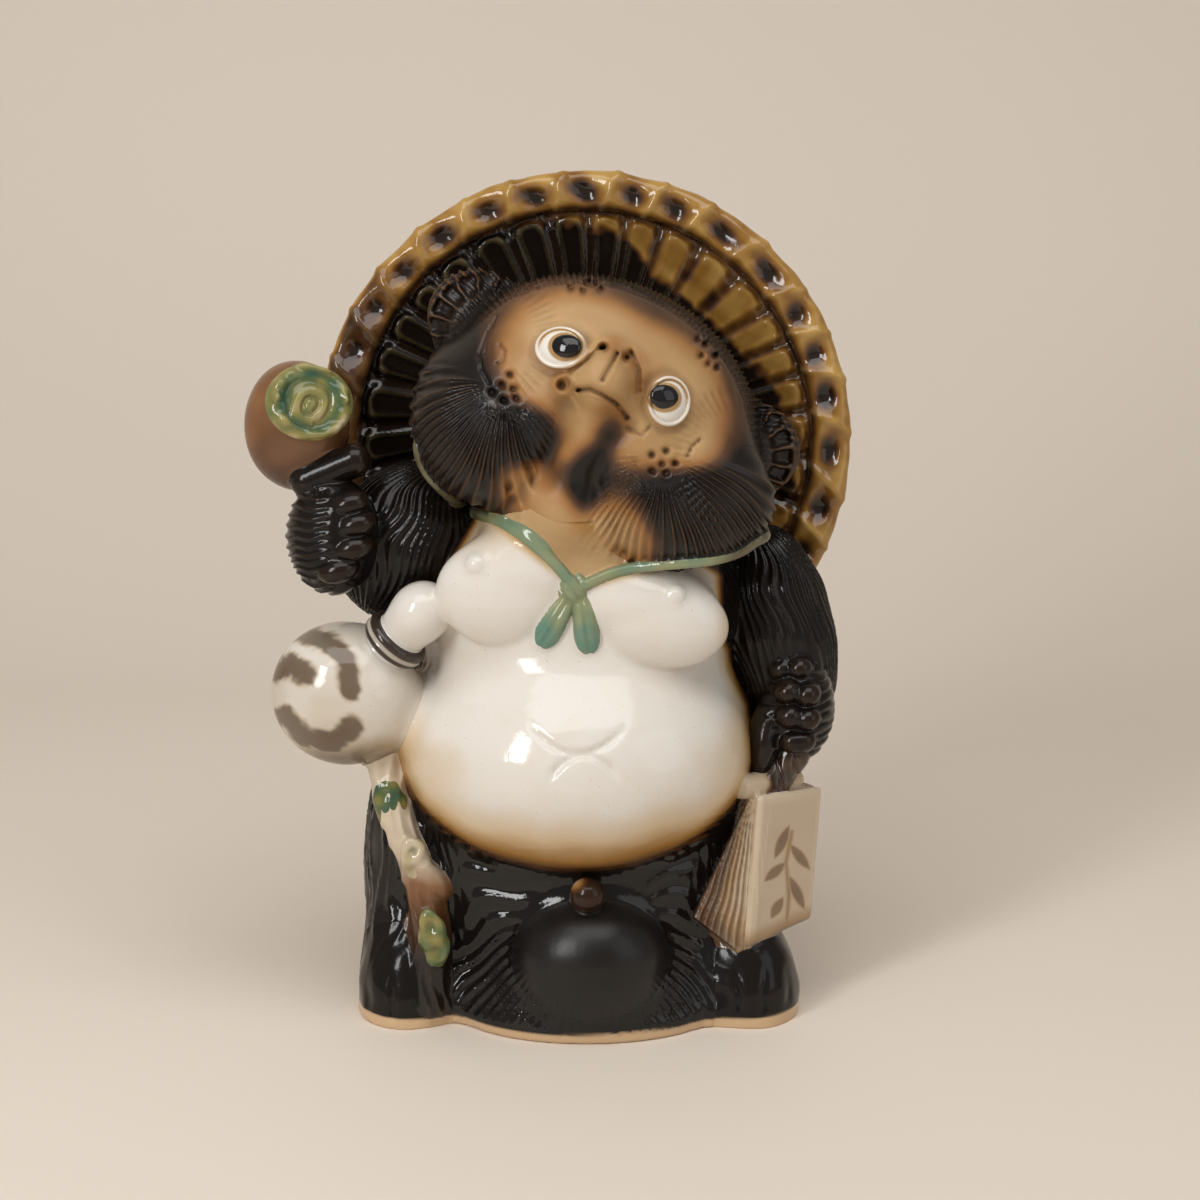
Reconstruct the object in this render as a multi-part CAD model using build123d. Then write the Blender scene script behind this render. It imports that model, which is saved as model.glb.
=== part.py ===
from build123d import *
from math import cos, radians, sin
import os

# Tanuki statue in glazed stoneware, millimetres and degrees.
# +Z is up, the figure faces -Y, and +X is the figure's own left.
# Each lump of clay is an ellipsoid, called a mass here. A piece is placed on the mass that carries it
# by an azimuth (0 at the carrier's front, positive towards +X), an elevation and a lift off the surface,
# so it follows the carrier when a size changes. Each piece is then cut by the pieces already in place,
# and the cut is the seat where the two were luted together with slip before firing.

# Walls and openings of the hollow pieces
BODY_WALL = 6.0
HEAD_WALL = 6.0
FLASK_WALL = 4.5
NECK_VENT_RADIUS = 10.0
FLASK_VENT_RADIUS = 2.5
SEAM_DEPTH = 0.0

# In what follows, RADII are half width, half depth and half height, a SEAT is an azimuth and an elevation
# on the carrier, a TURN is pitch, roll and yaw, SINK and LIFT are measured from the carrier's surface,
# and FORWARD is towards the figure's front.

# Body masses
LOWER_BODY_CENTRE = (8.0, 0.0, 48.0)
LOWER_BODY_RADII = (62.0, 46.0, 98.0)
SKIRT_CENTRE = (11.0, -26.0, 4.0)
SKIRT_RADII = (42.0, 31.0, 26.0)
BELLY_CENTRE = (7.9, -18.0, 80.0)
BELLY_RADII = (53.0, 48.0, 37.0)
CHEST_CENTRE = (8.9, -4.0, 124.0)
CHEST_RADII = (50.0, 41.0, 36.0)
BREAST_SINK = 1.8
RIGHT_BREAST_SEAT = (-28.0, 15.0)
RIGHT_BREAST_RADII = (19.0, 15.0, 15.5)
LEFT_BREAST_SEAT = (28.0, 1.0)
LEFT_BREAST_RADII = (20.5, 15.0, 13.5)
LEFT_BREAST_TURN = (0.0, 10.0, 0.0)
NIPPLE_RADIUS = 3.0
RIGHT_NIPPLE_SEAT = (-31.0, 39.0)
LEFT_NIPPLE_SEAT = (14.0, 47.0)

# Head, tipped back and leaning to its own left
HEAD_CENTRE = (15.8, -12.0, 182.4)
HEAD_RADII = (48.0, 43.0, 38.0)
HEAD_TURN = (-30.0, 27.0, 0.0)
EAR_RADII = (14.0, 7.0, 14.5)
EAR_TURN = (0.0, 15.0, 0.0)
EAR_SINK = 0.5
RIGHT_EAR_SEAT = (-90.0, 13.0)
LEFT_EAR_SEAT = (88.0, 15.0)
CHEEK_SINK = 5.2
CHEEK_FORWARD = 5.0
RIGHT_CHEEK_RADII = (22.5, 17.0, 19.5)
RIGHT_CHEEK_SEAT = (-82.0, -51.0)
RIGHT_CHEEK_TURN = (0.0, 30.0, 0.0)
LEFT_CHEEK_RADII = (27.0, 17.0, 18.0)
LEFT_CHEEK_SEAT = (70.0, -37.0)
LEFT_CHEEK_TURN = (0.0, -8.0, 0.0)
MUZZLE_RADII = (10.5, 15.0, 11.0)
MUZZLE_SEAT = (-9.0, -18.0)
MUZZLE_SINK = 5.0
EYE_RADII = (7.6, 4.2, 6.8)
EYE_SPIN = 10.0
RIGHT_EYE_SEAT = (-26.0, -7.0)
LEFT_EYE_SEAT = (15.0, -8.0)
PUPIL_RADII = (4.4, 2.2, 3.8)
PUPIL_SEAT = (4.0, 16.0)

# Hat slung behind the head: a dished brim inside a thick rolled rim
HAT_RADIUS = 81.0
HAT_RIM_WIDTH = 12.0
HAT_RIM_THICKNESS = 10.0
HAT_RIM_ROUNDING = 4.0
HAT_DISH_DEPTH = 16.0
HAT_DISH_FLANK = (0.55, 0.75)
HAT_BRIM_THICKNESS = 8.0
HAT_LEAN_BACK = 8.0
HAT_SHIFT_ACROSS = -5.5
HAT_DROP = 12.5
HAT_HEAD_SEAT = 2.0

# Cord under the chin, its bow and its two tails, all modelled in relief
CHIN_CORD_RADIUS = 2.2
CHIN_CORD_BEND = 6.0
KNOT_RADII = (4.6, 4.0, 5.0)
KNOT_SEAT = (-2.0, 18.0)
KNOT_LIFT = 1.0
CORD_TAIL_RADII = (3.4, 2.6, 9.0)
CORD_TAIL_LIFT = 0.5
RIGHT_CORD_TAIL_SEAT = (-8.0, 3.0)
RIGHT_CORD_TAIL_SPIN = 30.0
LEFT_CORD_TAIL_SEAT = (2.0, 2.0)
LEFT_CORD_TAIL_SPIN = -8.0

# Raised right arm, with the staff and the flask
RAISED_ARM_RADII = (21.0, 20.0, 25.0)
RAISED_ARM_SEAT = (-85.0, 23.0)
RAISED_ARM_TURN = (0.0, 25.0, 0.0)
RAISED_ARM_LIFT = 8.0
RAISED_PAW_RADII = (13.8, 14.0, 18.0)
RAISED_PAW_SEAT = (-51.0, -8.0)
RAISED_PAW_LIFT = 5.7
STAFF_RADIUS = 5.2
STAFF_KNOB_RADII = (15.5, 15.0, 19.5)
STAFF_KNOB_SEAT = (-132.0, 66.0)
STAFF_KNOB_LIFT = 17.0
STAFF_IN_PAW = 4.0
STAFF_END_RADII = (13.5, 3.4, 11.5)
STAFF_END_SEAT = (22.0, 27.0)
STAFF_TOP_SEAT = (-62.0, 21.0)
STAFF_TOP_LIFT = 6.0
STAFF_FOOT_SEAT = (-40.0, -30.0)
STAFF_FOOT_LIFT = 12.0
STAFF_KNOT_RADII = (4.8, 4.4, 8.0)
STAFF_KNOT_TURN = (0.0, -12.0, 0.0)
STAFF_KNOT_SHARES = {"upper": 0.28, "middle": 0.53, "lower": 0.80}
FLASK_RADII = (22.0, 19.0, 21.5)
FLASK_SEAT = (-84.0, 17.0)
FLASK_TURN = (0.0, 25.0, 0.0)
FLASK_SINK = 1.5
FLASK_VENT_REACH = 2.0
FLASK_NECK_SEAT = (54.0, 70.0)
FLASK_NECK_RADIUS = 7.6
FLASK_NECK_LENGTH = 14.8
FLASK_NECK_ROOT = 3.0
FLASK_LIP_RADII = (9.8, 9.6, 8.6)
FLASK_CORD_RADIUS = 1.9
FLASK_CORD_RING_RADIUS = 8.4
FLASK_CORD_LIFT = 2.5

# Lowered left arm, with the account book
LOWERED_ARM_RADII = (17.0, 20.0, 34.0)
LOWERED_ARM_SEAT = (90.0, -12.0)
LOWERED_ARM_TURN = (0.0, -12.0, 0.0)
LOWERED_ARM_LIFT = 12.3
LOWERED_PAW_RADII = (11.5, 13.0, 17.0)
LOWERED_PAW_SEAT = (2.0, -41.0)
LOWERED_PAW_SINK = 3.0
BOOK_HEIGHT = 47.0
BOOK_WIDTH = 27.0
BOOK_SPREAD_BELOW = 24.0
BOOK_SPREAD_ABOVE = 8.0
BOOK_COVER_THICKNESS = 2.4
BOOK_SEAT = (49.0, -0.6)
BOOK_LIFT = 7.0
BOOK_TURN = (0.0, 5.0, 41.0)
HANGER_RADIUS = 5.0
HANGER_SEAT = (0.0, -60.0)
HANGER_SINK = 3.0

# Pouch, feet and tail
POUCH_RADII = (21.5, 17.0, 17.5)
POUCH_SEAT = (3.0, 63.0)
POUCH_SINK = 4.0
POUCH_FORWARD = 7.0
POUCH_KNOB_RADIUS = 5.2
POUCH_KNOB_SEAT = (-6.0, 75.0)
POUCH_KNOB_LIFT = 4.5
FOOT_RADII = (15.5, 20.0, 14.0)
FOOT_LIFT = 3.0
RIGHT_FOOT_SEAT = (-58.0, -21.0)
LEFT_FOOT_SEAT = (59.0, -20.0)
TAIL_RADII = (17.0, 13.0, 30.0)
TAIL_SEAT = (180.0, -7.0)
TAIL_SINK = 1.7

# Side of the block that holds everything above the ground
GROUND_BLOCK = 400.0

# Every mass is a stretched ball of this many wedges, turned so that their meeting points miss the seats
BALL_WEDGES = 3
BALL_TURN = (37.0, 23.0, 51.0)


class Mass:
    """An ellipsoid lump of clay: a place, and its half width, half depth and half height."""

    def __init__(self, place, radii):
        self.place = place
        self.radii = radii

    def solid(self, inset=0.0):
        """The lump, or the space inside it when it has a wall of the given thickness."""
        wedge_angle = 360.0 / BALL_WEDGES
        wedge = Sphere(1.0, arc_size3=wedge_angle, align=Align.NONE)
        stretch = tuple(radius - inset for radius in self.radii)
        lump = Part()
        for number in range(BALL_WEDGES):
            lump += scale(Rot(*BALL_TURN) * Rot(0, 0, number * wedge_angle) * wedge, by=stretch)
        return self.place * lump

    def at(self, azimuth, elevation, lift=0.0):
        """A point lifted off the surface along the normal there."""
        level = cos(radians(elevation))
        ray = (level * sin(radians(azimuth)), -level * cos(radians(azimuth)), sin(radians(elevation)))
        surface = Vector(*(part * radius for part, radius in zip(ray, self.radii)))
        normal = Vector(*(part / radius for part, radius in zip(ray, self.radii))).normalized()
        point = surface + normal * lift
        return (self.place * Pos(point.X, point.Y, point.Z)).position

    def seat(self, azimuth, elevation, lift=0.0, spin=0.0):
        """A place on the surface: its own -Y points outwards and its +X runs level before the spin."""
        point = self.at(azimuth, elevation, lift)
        outward = self.at(azimuth, elevation, lift + 1.0) - point
        level = Vector(0, 0, 1).cross(outward)
        return Plane(point, x_dir=level, z_dir=outward).location * Rot(-90, 0, 0) * Rot(0, spin, 0)


def placed(centre, turn=(0.0, 0.0, 0.0)):
    """A place from a centre and a turn given as pitch, roll and yaw."""
    pitch, roll, yaw = turn
    point = Vector(*centre)
    return Pos(point.X, point.Y, point.Z) * Rot(0, 0, yaw) * Rot(0, roll, 0) * Rot(pitch, 0, 0)


def rod(start, end, radius):
    """A round bar between two points."""
    along = end - start
    return Solid.make_cylinder(radius, along.length, Plane(start, z_dir=along))


def cord(points, radius, bend):
    """A round bead along points, with its corners eased."""
    path = FilletPolyline(*points, radius=bend)
    section = Plane(path @ 0, z_dir=path % 0) * Circle(radius)
    return sweep(section, path)


def above_ground(form):
    """What is left of a form above the surface that the statue stands on."""
    return form & Pos(0, 0, GROUND_BLOCK / 2) * Box(GROUND_BLOCK, GROUND_BLOCK, GROUND_BLOCK)


def boxes_meet(one, other):
    """True where the boxes around two forms overlap."""
    first = one.bounding_box()
    second = other.bounding_box()
    ahead = all(low <= high for low, high in zip(first.min, second.max))
    behind = all(low <= high for low, high in zip(second.min, first.max))
    return ahead and behind


pieces = {}
envelopes = {}


def lute(name, form, hollow=None):
    """Cut a form by every piece in place, so that it seats on them, and keep it under its name."""
    seated = form
    for envelope in envelopes.values():
        if boxes_meet(seated, envelope):
            seated = seated - envelope
    seated = max(seated.solids(), key=lambda solid: solid.volume)
    envelopes[name] = seated
    pieces[name] = seated if hollow is None else max((seated - hollow).solids(), key=lambda s: s.volume)


# Body: two hollow half shells pressed in moulds and joined at the side seam, open underneath
lower_body = Mass(placed(LOWER_BODY_CENTRE), LOWER_BODY_RADII)
skirt = Mass(placed(SKIRT_CENTRE), SKIRT_RADII)
belly = Mass(placed(BELLY_CENTRE), BELLY_RADII)
chest = Mass(placed(CHEST_CENTRE), CHEST_RADII)
right_breast = Mass(placed(chest.at(*RIGHT_BREAST_SEAT, -BREAST_SINK)), RIGHT_BREAST_RADII)
left_breast = Mass(placed(chest.at(*LEFT_BREAST_SEAT, -BREAST_SINK), LEFT_BREAST_TURN), LEFT_BREAST_RADII)

body_form = lower_body.solid()
for mass in (skirt, belly, chest, right_breast, left_breast):
    body_form = body_form + mass.solid()
body_form = above_ground(body_form)

body_hollow = lower_body.solid(BODY_WALL)
for mass in (skirt, belly, chest):
    body_hollow = body_hollow + mass.solid(BODY_WALL)

head = Mass(placed(HEAD_CENTRE, HEAD_TURN), HEAD_RADII)
neck_vent = rod(Vector(*CHEST_CENTRE), Vector(*HEAD_CENTRE), NECK_VENT_RADIUS)

body_shell = body_form - body_hollow - neck_vent
seam = Plane((0, SEAM_DEPTH, 0), x_dir=(1, 0, 0), z_dir=(0, 1, 0))
pieces["body_front_shell"] = split(body_shell, bisect_by=seam, keep=Keep.BOTTOM)
pieces["body_back_shell"] = split(body_shell, bisect_by=seam, keep=Keep.TOP)
envelopes["body"] = body_form

# Head: a hollow ball that opens into the body through the neck
lute("head_shell", head.solid(), head.solid(HEAD_WALL) + neck_vent)

# Hat: its dish bears on the back of the head, and the rolled rim is wrapped round its edge
head_back = head.solid().bounding_box().max.Y
hat_across = HEAD_CENTRE[0] + HAT_SHIFT_ACROSS
hat_height = HEAD_CENTRE[2] - HAT_DROP
hat_centre = (hat_across, head_back - HAT_DISH_DEPTH - HAT_HEAD_SEAT, hat_height)
hat_place = placed(hat_centre, (90.0 - HAT_LEAN_BACK, 0.0, 0.0))
brim_radius = HAT_RADIUS - HAT_RIM_WIDTH
flank = (brim_radius * HAT_DISH_FLANK[0], -HAT_DISH_DEPTH * HAT_DISH_FLANK[1])
brim_front = [(brim_radius, 0.0), flank, (0.0, -HAT_DISH_DEPTH)]
brim_back = [(across, depth - HAT_BRIM_THICKNESS) for across, depth in brim_front]
brim_outline = [
    ThreePointArc(*brim_front),
    Line(brim_front[-1], brim_back[-1]),
    ThreePointArc(*reversed(brim_back)),
    Line(brim_back[0], brim_front[0]),
]
brim_section = Plane.XZ * make_face(brim_outline)
rim_outline = RectangleRounded(HAT_RIM_WIDTH, HAT_RIM_THICKNESS, HAT_RIM_ROUNDING)
rim_section = Plane.XZ * Pos(HAT_RADIUS - HAT_RIM_WIDTH / 2, 0) * rim_outline
lute("hat_brim", hat_place * revolve(brim_section, Axis.Z))
lute("hat_rim", hat_place * revolve(rim_section, Axis.Z))

# Face: ears, puffed cheeks, muzzle, eyes
cheek_shift = Vector(0, -CHEEK_FORWARD, 0)
right_cheek_centre = head.at(*RIGHT_CHEEK_SEAT, -CHEEK_SINK) + cheek_shift
left_cheek_centre = head.at(*LEFT_CHEEK_SEAT, -CHEEK_SINK) + cheek_shift
right_cheek = Mass(placed(right_cheek_centre, RIGHT_CHEEK_TURN), RIGHT_CHEEK_RADII)
left_cheek = Mass(placed(left_cheek_centre, LEFT_CHEEK_TURN), LEFT_CHEEK_RADII)
lute("right_ear", Mass(placed(head.at(*RIGHT_EAR_SEAT, -EAR_SINK), EAR_TURN), EAR_RADII).solid())
lute("left_ear", Mass(placed(head.at(*LEFT_EAR_SEAT, -EAR_SINK), EAR_TURN), EAR_RADII).solid())
lute("right_cheek", right_cheek.solid())
lute("left_cheek", left_cheek.solid())
lute("muzzle", Mass(placed(head.at(*MUZZLE_SEAT, -MUZZLE_SINK), HEAD_TURN), MUZZLE_RADII).solid())
for side, seat in (("right", RIGHT_EYE_SEAT), ("left", LEFT_EYE_SEAT)):
    eye = Mass(head.seat(*seat, spin=EYE_SPIN), EYE_RADII)
    lute(side + "_eye_white", eye.solid())
    lute(side + "_pupil", Mass(eye.seat(*PUPIL_SEAT), PUPIL_RADII).solid())

# Nipples
lute("right_nipple", Mass(placed(right_breast.at(*RIGHT_NIPPLE_SEAT)), (NIPPLE_RADIUS,) * 3).solid())
lute("left_nipple", Mass(placed(left_breast.at(*LEFT_NIPPLE_SEAT)), (NIPPLE_RADIUS,) * 3).solid())

# Raised right arm and its paw, closed round the staff
raised_arm = Mass(placed(chest.at(*RAISED_ARM_SEAT, RAISED_ARM_LIFT), RAISED_ARM_TURN), RAISED_ARM_RADII)
raised_paw = Mass(placed(raised_arm.at(*RAISED_PAW_SEAT, RAISED_PAW_LIFT)), RAISED_PAW_RADII)
lute("raised_arm", raised_arm.solid())
lute("raised_paw", raised_paw.solid())

# Upper end of the staff: the stump above the paw, with its cut end
staff_knob = Mass(placed(raised_paw.at(*STAFF_KNOB_SEAT, STAFF_KNOB_LIFT)), STAFF_KNOB_RADII)
staff_grip = rod(raised_paw.at(*STAFF_KNOB_SEAT, -STAFF_IN_PAW), staff_knob.place.position, STAFF_RADIUS)
lute("staff_knob", staff_knob.solid() + staff_grip)
lute("staff_cut_end", Mass(staff_knob.seat(*STAFF_END_SEAT), STAFF_END_RADII).solid())

# Flask: a hollow round bottle slung from the staff, with a corded neck
flask = Mass(placed(belly.at(*FLASK_SEAT, FLASK_RADII[0] - FLASK_SINK), FLASK_TURN), FLASK_RADII)
flask_vent = rod(flask.place.position, belly.at(*FLASK_SEAT, -FLASK_VENT_REACH), FLASK_VENT_RADIUS)
neck_root = flask.at(*FLASK_NECK_SEAT, -FLASK_NECK_ROOT)
neck_end = flask.at(*FLASK_NECK_SEAT, FLASK_NECK_LENGTH)
flask_lip = Mass(flask.seat(*FLASK_NECK_SEAT, FLASK_NECK_LENGTH), FLASK_LIP_RADII)
cord_ring = Torus(FLASK_CORD_RING_RADIUS, FLASK_CORD_RADIUS)
lute("flask_body", flask.solid(), flask.solid(FLASK_WALL) + flask_vent)
lute("flask_cord", flask.seat(*FLASK_NECK_SEAT, FLASK_CORD_LIFT) * Rot(90, 0, 0) * cord_ring)
lute("flask_neck", flask_lip.solid() + rod(neck_root, neck_end, FLASK_NECK_RADIUS))

# Feet, pouch and tail, all on the lower body
for side, seat in (("right", RIGHT_FOOT_SEAT), ("left", LEFT_FOOT_SEAT)):
    lute(side + "_foot", above_ground(Mass(placed(lower_body.at(*seat, FOOT_LIFT)), FOOT_RADII).solid()))
pouch_centre = skirt.at(*POUCH_SEAT, -POUCH_SINK) - Vector(0, POUCH_FORWARD, 0)
pouch = Mass(placed(pouch_centre), POUCH_RADII)
lute("pouch", above_ground(pouch.solid()))
pouch_knob_centre = pouch.at(*POUCH_KNOB_SEAT, POUCH_KNOB_LIFT)
lute("pouch_knob", Mass(placed(pouch_knob_centre), (POUCH_KNOB_RADIUS,) * 3).solid())
lute("tail", Mass(placed(lower_body.at(*TAIL_SEAT, -TAIL_SINK)), TAIL_RADII).solid())

# Lower staff, in relief down the side of the body to the ground, and its knots
staff_top = lower_body.at(*STAFF_TOP_SEAT, STAFF_TOP_LIFT)
staff_foot = lower_body.at(*STAFF_FOOT_SEAT, STAFF_FOOT_LIFT)
lute("staff_shaft", above_ground(rod(staff_top, staff_foot, STAFF_RADIUS)))
for place, share in STAFF_KNOT_SHARES.items():
    middle = staff_top + (staff_foot - staff_top) * share - Vector(0, STAFF_RADIUS, 0)
    lute("staff_knot_" + place, Mass(placed(middle, STAFF_KNOT_TURN), STAFF_KNOT_RADII).solid())

# Lowered left arm and paw
lowered_arm = Mass(placed(chest.at(*LOWERED_ARM_SEAT, LOWERED_ARM_LIFT), LOWERED_ARM_TURN), LOWERED_ARM_RADII)
lowered_paw = Mass(placed(lowered_arm.at(*LOWERED_PAW_SEAT, -LOWERED_PAW_SINK)), LOWERED_PAW_RADII)
lute("lowered_arm", lowered_arm.solid())
lute("lowered_paw", lowered_paw.solid())

# Account book: a block of pages fanned out downwards, a cover on its outer face, and what it hangs by
book_place = placed(lower_body.at(*BOOK_SEAT, BOOK_LIFT), BOOK_TURN)


def page_section(height, spread):
    """The level outline of the page block, from the cover's inner face."""
    return Plane.XY.offset(height) * Pos(BOOK_WIDTH / 2, spread / 2) * Rectangle(BOOK_WIDTH, spread)


book_foot = page_section(-BOOK_HEIGHT / 2, BOOK_SPREAD_BELOW)
book_top = page_section(BOOK_HEIGHT / 2, BOOK_SPREAD_ABOVE)
cover = Pos(BOOK_WIDTH / 2, -BOOK_COVER_THICKNESS / 2, 0) * Box(BOOK_WIDTH, BOOK_COVER_THICKNESS, BOOK_HEIGHT)
hanger_foot = (book_place * Pos(BOOK_WIDTH / 3, BOOK_SPREAD_ABOVE / 2, BOOK_HEIGHT / 2)).position
lute("book_pages", book_place * loft([book_foot, book_top]))
lute("book_cover", book_place * cover)
lute("book_hanger", rod(lowered_paw.at(*HANGER_SEAT, -HANGER_SINK), hanger_foot, HANGER_RADIUS))

# Cord from behind the cheeks to a bow on the chest, with its tails
lute("cord_knot", Mass(placed(chest.at(*KNOT_SEAT, KNOT_LIFT)), KNOT_RADII).solid())
right_route = [
    right_cheek.at(-86, 4, 2.0),
    right_cheek.at(-66, -46, 3.0),
    chest.at(-40, 50, 3.0),
    chest.at(-24, 42, 1.5),
    chest.at(-4, 23, 1.0),
]
left_route = [
    left_cheek.at(74, -42, 1.0),
    chest.at(66, 23, 1.0),
    chest.at(46, 26, 1.0),
    chest.at(24, 27, 1.0),
    chest.at(2, 20, 1.0),
]
lute("chin_cord_right", cord(right_route, CHIN_CORD_RADIUS, CHIN_CORD_BEND))
lute("chin_cord_left", cord(left_route, CHIN_CORD_RADIUS, CHIN_CORD_BEND))
right_tail_seat = chest.seat(*RIGHT_CORD_TAIL_SEAT, CORD_TAIL_LIFT, RIGHT_CORD_TAIL_SPIN)
left_tail_seat = chest.seat(*LEFT_CORD_TAIL_SEAT, CORD_TAIL_LIFT, LEFT_CORD_TAIL_SPIN)
lute("cord_tail_right", Mass(right_tail_seat, CORD_TAIL_RADII).solid())
lute("cord_tail_left", Mass(left_tail_seat, CORD_TAIL_RADII).solid())

# The origin is under the middle of the whole statue, on the surface that it stands on
whole = Compound(children=[Compound(piece.wrapped) for piece in pieces.values()]).bounding_box()
to_origin = Pos(-whole.center().X, -whole.center().Y, -whole.min.Z)

os.makedirs("parts", exist_ok=True)
for name, piece in pieces.items():
    export_step(to_origin * piece, "parts/" + name + ".step")
print("moved to the origin by", to_origin.position)
print("size", whole.size)
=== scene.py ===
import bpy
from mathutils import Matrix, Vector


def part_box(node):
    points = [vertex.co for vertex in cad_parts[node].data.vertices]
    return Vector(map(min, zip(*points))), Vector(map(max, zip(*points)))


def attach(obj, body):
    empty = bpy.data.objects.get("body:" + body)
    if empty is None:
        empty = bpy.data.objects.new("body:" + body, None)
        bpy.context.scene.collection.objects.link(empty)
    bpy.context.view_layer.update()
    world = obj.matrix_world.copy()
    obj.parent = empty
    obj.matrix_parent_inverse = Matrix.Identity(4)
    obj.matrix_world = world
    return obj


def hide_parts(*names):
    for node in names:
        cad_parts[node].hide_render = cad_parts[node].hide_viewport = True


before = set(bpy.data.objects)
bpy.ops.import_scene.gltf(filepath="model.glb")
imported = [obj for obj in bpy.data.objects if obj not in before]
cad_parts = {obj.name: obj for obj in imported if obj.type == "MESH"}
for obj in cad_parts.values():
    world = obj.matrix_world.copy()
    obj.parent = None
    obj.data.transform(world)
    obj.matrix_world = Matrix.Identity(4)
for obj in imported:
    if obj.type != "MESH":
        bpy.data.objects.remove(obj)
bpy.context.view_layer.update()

from concurrent.futures import ThreadPoolExecutor

import bpy
import numpy as np
from mathutils import Matrix

# Glazed stoneware tanuki. Shapes are worked out in millimetres, in the statue's modelling frame:
# +Z is up, the figure faces -Y, and +X is the figure's own left.
# Each clay piece is a field: a function that gives how far points are outside its surface.
# The pieces are melted together where they meet, as the glaze does, and each one is then meshed
# as a closed form of its own, divided from its neighbours along the creases.
# What the photograph places is given by its pixels, and a spot is a pixel with a depth along Y.

MILLIMETRE = 0.001
FAR = 99.0
TURN = 2.0 * np.pi

# The photograph's camera, for the view and for details that are placed where the photograph shows them
IMAGE_SIZE = 1200.0
LENS = 85.0
SENSOR = 36.0
FOCAL = LENS / SENSOR * IMAGE_SIZE
LOOK_DOWN = 13.0
LOOK_AT = np.array((14.9, 0.0, 121.88))
LOOK_FROM = 864.52


def unit(vector):
    return np.asarray(vector, float) / np.linalg.norm(vector)


def turned(pitch=0.0, roll=0.0, yaw=0.0):
    """The axes, as columns, of a place turned by pitch, roll and yaw in degrees."""
    angles = np.radians((pitch, roll, yaw))
    cos_x, cos_y, cos_z = np.cos(angles)
    sin_x, sin_y, sin_z = np.sin(angles)
    about_x = np.array(((1, 0, 0), (0, cos_x, -sin_x), (0, sin_x, cos_x)))
    about_y = np.array(((cos_y, 0, sin_y), (0, 1, 0), (-sin_y, 0, cos_y)))
    about_z = np.array(((cos_z, -sin_z, 0), (sin_z, cos_z, 0), (0, 0, 1)))
    return about_z @ about_y @ about_x


class Mass:
    """An ellipsoid lump: its centre, its half width, depth and height, and its axes as columns."""

    def __init__(self, centre, radii, axes=None):
        self.centre = np.asarray(centre, np.float32)
        self.radii = np.asarray(radii, np.float32)
        self.axes = np.asarray(turned() if axes is None else axes, np.float32)

    def local(self, points):
        return (points - self.centre) @ self.axes

    def gap(self, points):
        """How far points are outside the surface."""
        inner = self.local(points) / self.radii
        reach = np.sqrt((inner ** 2).sum(1))
        slope = np.sqrt(((inner / self.radii) ** 2).sum(1))
        return reach * (reach - 1.0) / np.maximum(slope, 1e-6)

    def normal(self, point):
        return unit(self.axes @ (self.local(np.asarray(point)) / self.radii ** 2))

    def at(self, azimuth, elevation, lift=0.0):
        """A point on the surface, or lifted off it: azimuth 0 is at the front and positive towards +X."""
        level = np.cos(np.radians(elevation))
        ray = np.array((
            level * np.sin(np.radians(azimuth)),
            -level * np.cos(np.radians(azimuth)),
            np.sin(np.radians(elevation)),
        ))
        return self.centre + self.axes @ (ray * self.radii + unit(ray / self.radii) * lift)

    def seat(self, azimuth, elevation, lift=0.0, spin=0.0):
        """A point on the surface and the axes of a place there whose own -Y points outwards."""
        point = self.at(azimuth, elevation, lift)
        outward = unit(self.at(azimuth, elevation, lift + 1.0) - point)
        level = unit(np.cross((0, 0, 1), outward))
        return point, np.column_stack((level, -outward, np.cross(outward, level))) @ turned(roll=spin)

    def box(self):
        half = np.sqrt(((self.axes * self.radii) ** 2).sum(1))
        return self.centre - half, self.centre + half


def ball(centre, radius):
    return Mass(centre, (radius,) * 3)


def seated(carrier, seat, radii, lift=0.0, spin=0.0):
    """A mass seated on another one."""
    point, axes = carrier.seat(*seat, lift, spin)
    return Mass(point, radii, axes)


CAMERA_AXES = turned(pitch=90.0 - LOOK_DOWN)
CAMERA_PLACE = LOOK_AT + CAMERA_AXES[:, 2] * LOOK_FROM


def sight_ray(pixel):
    return CAMERA_AXES @ unit((pixel[0] - IMAGE_SIZE / 2, IMAGE_SIZE / 2 - pixel[1], -FOCAL))


def sight(pixel, depth):
    """The point on a pixel's line of sight that lies at a given depth along Y."""
    ray = sight_ray(pixel)
    return CAMERA_PLACE + ray * (depth - CAMERA_PLACE[1]) / ray[1]


def sighted(spots):
    return [sight(pixel, depth) for pixel, depth in spots]


def shown(points):
    """Where points show in the photograph, in pixels."""
    inner = (points - CAMERA_PLACE.astype(np.float32)) @ CAMERA_AXES.astype(np.float32)
    scale = np.float32(FOCAL) / -inner[:, 2]
    middle = np.float32(IMAGE_SIZE / 2)
    return np.column_stack((middle + scale * inner[:, 0], middle - scale * inner[:, 1]))


def offset(at, pixel):
    """How many pixels points show to the right of a pixel, and how many below it."""
    return at[:, 0] - pixel[0], at[:, 1] - pixel[1]


def past(at, edge):
    """How many pixels points show to the right of a line that runs down the photograph."""
    (x, y), end = edge
    along, down = end[0] - x, end[1] - y
    return ((at[:, 0] - x) * down - (at[:, 1] - y) * along) / np.hypot(along, down)


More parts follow.
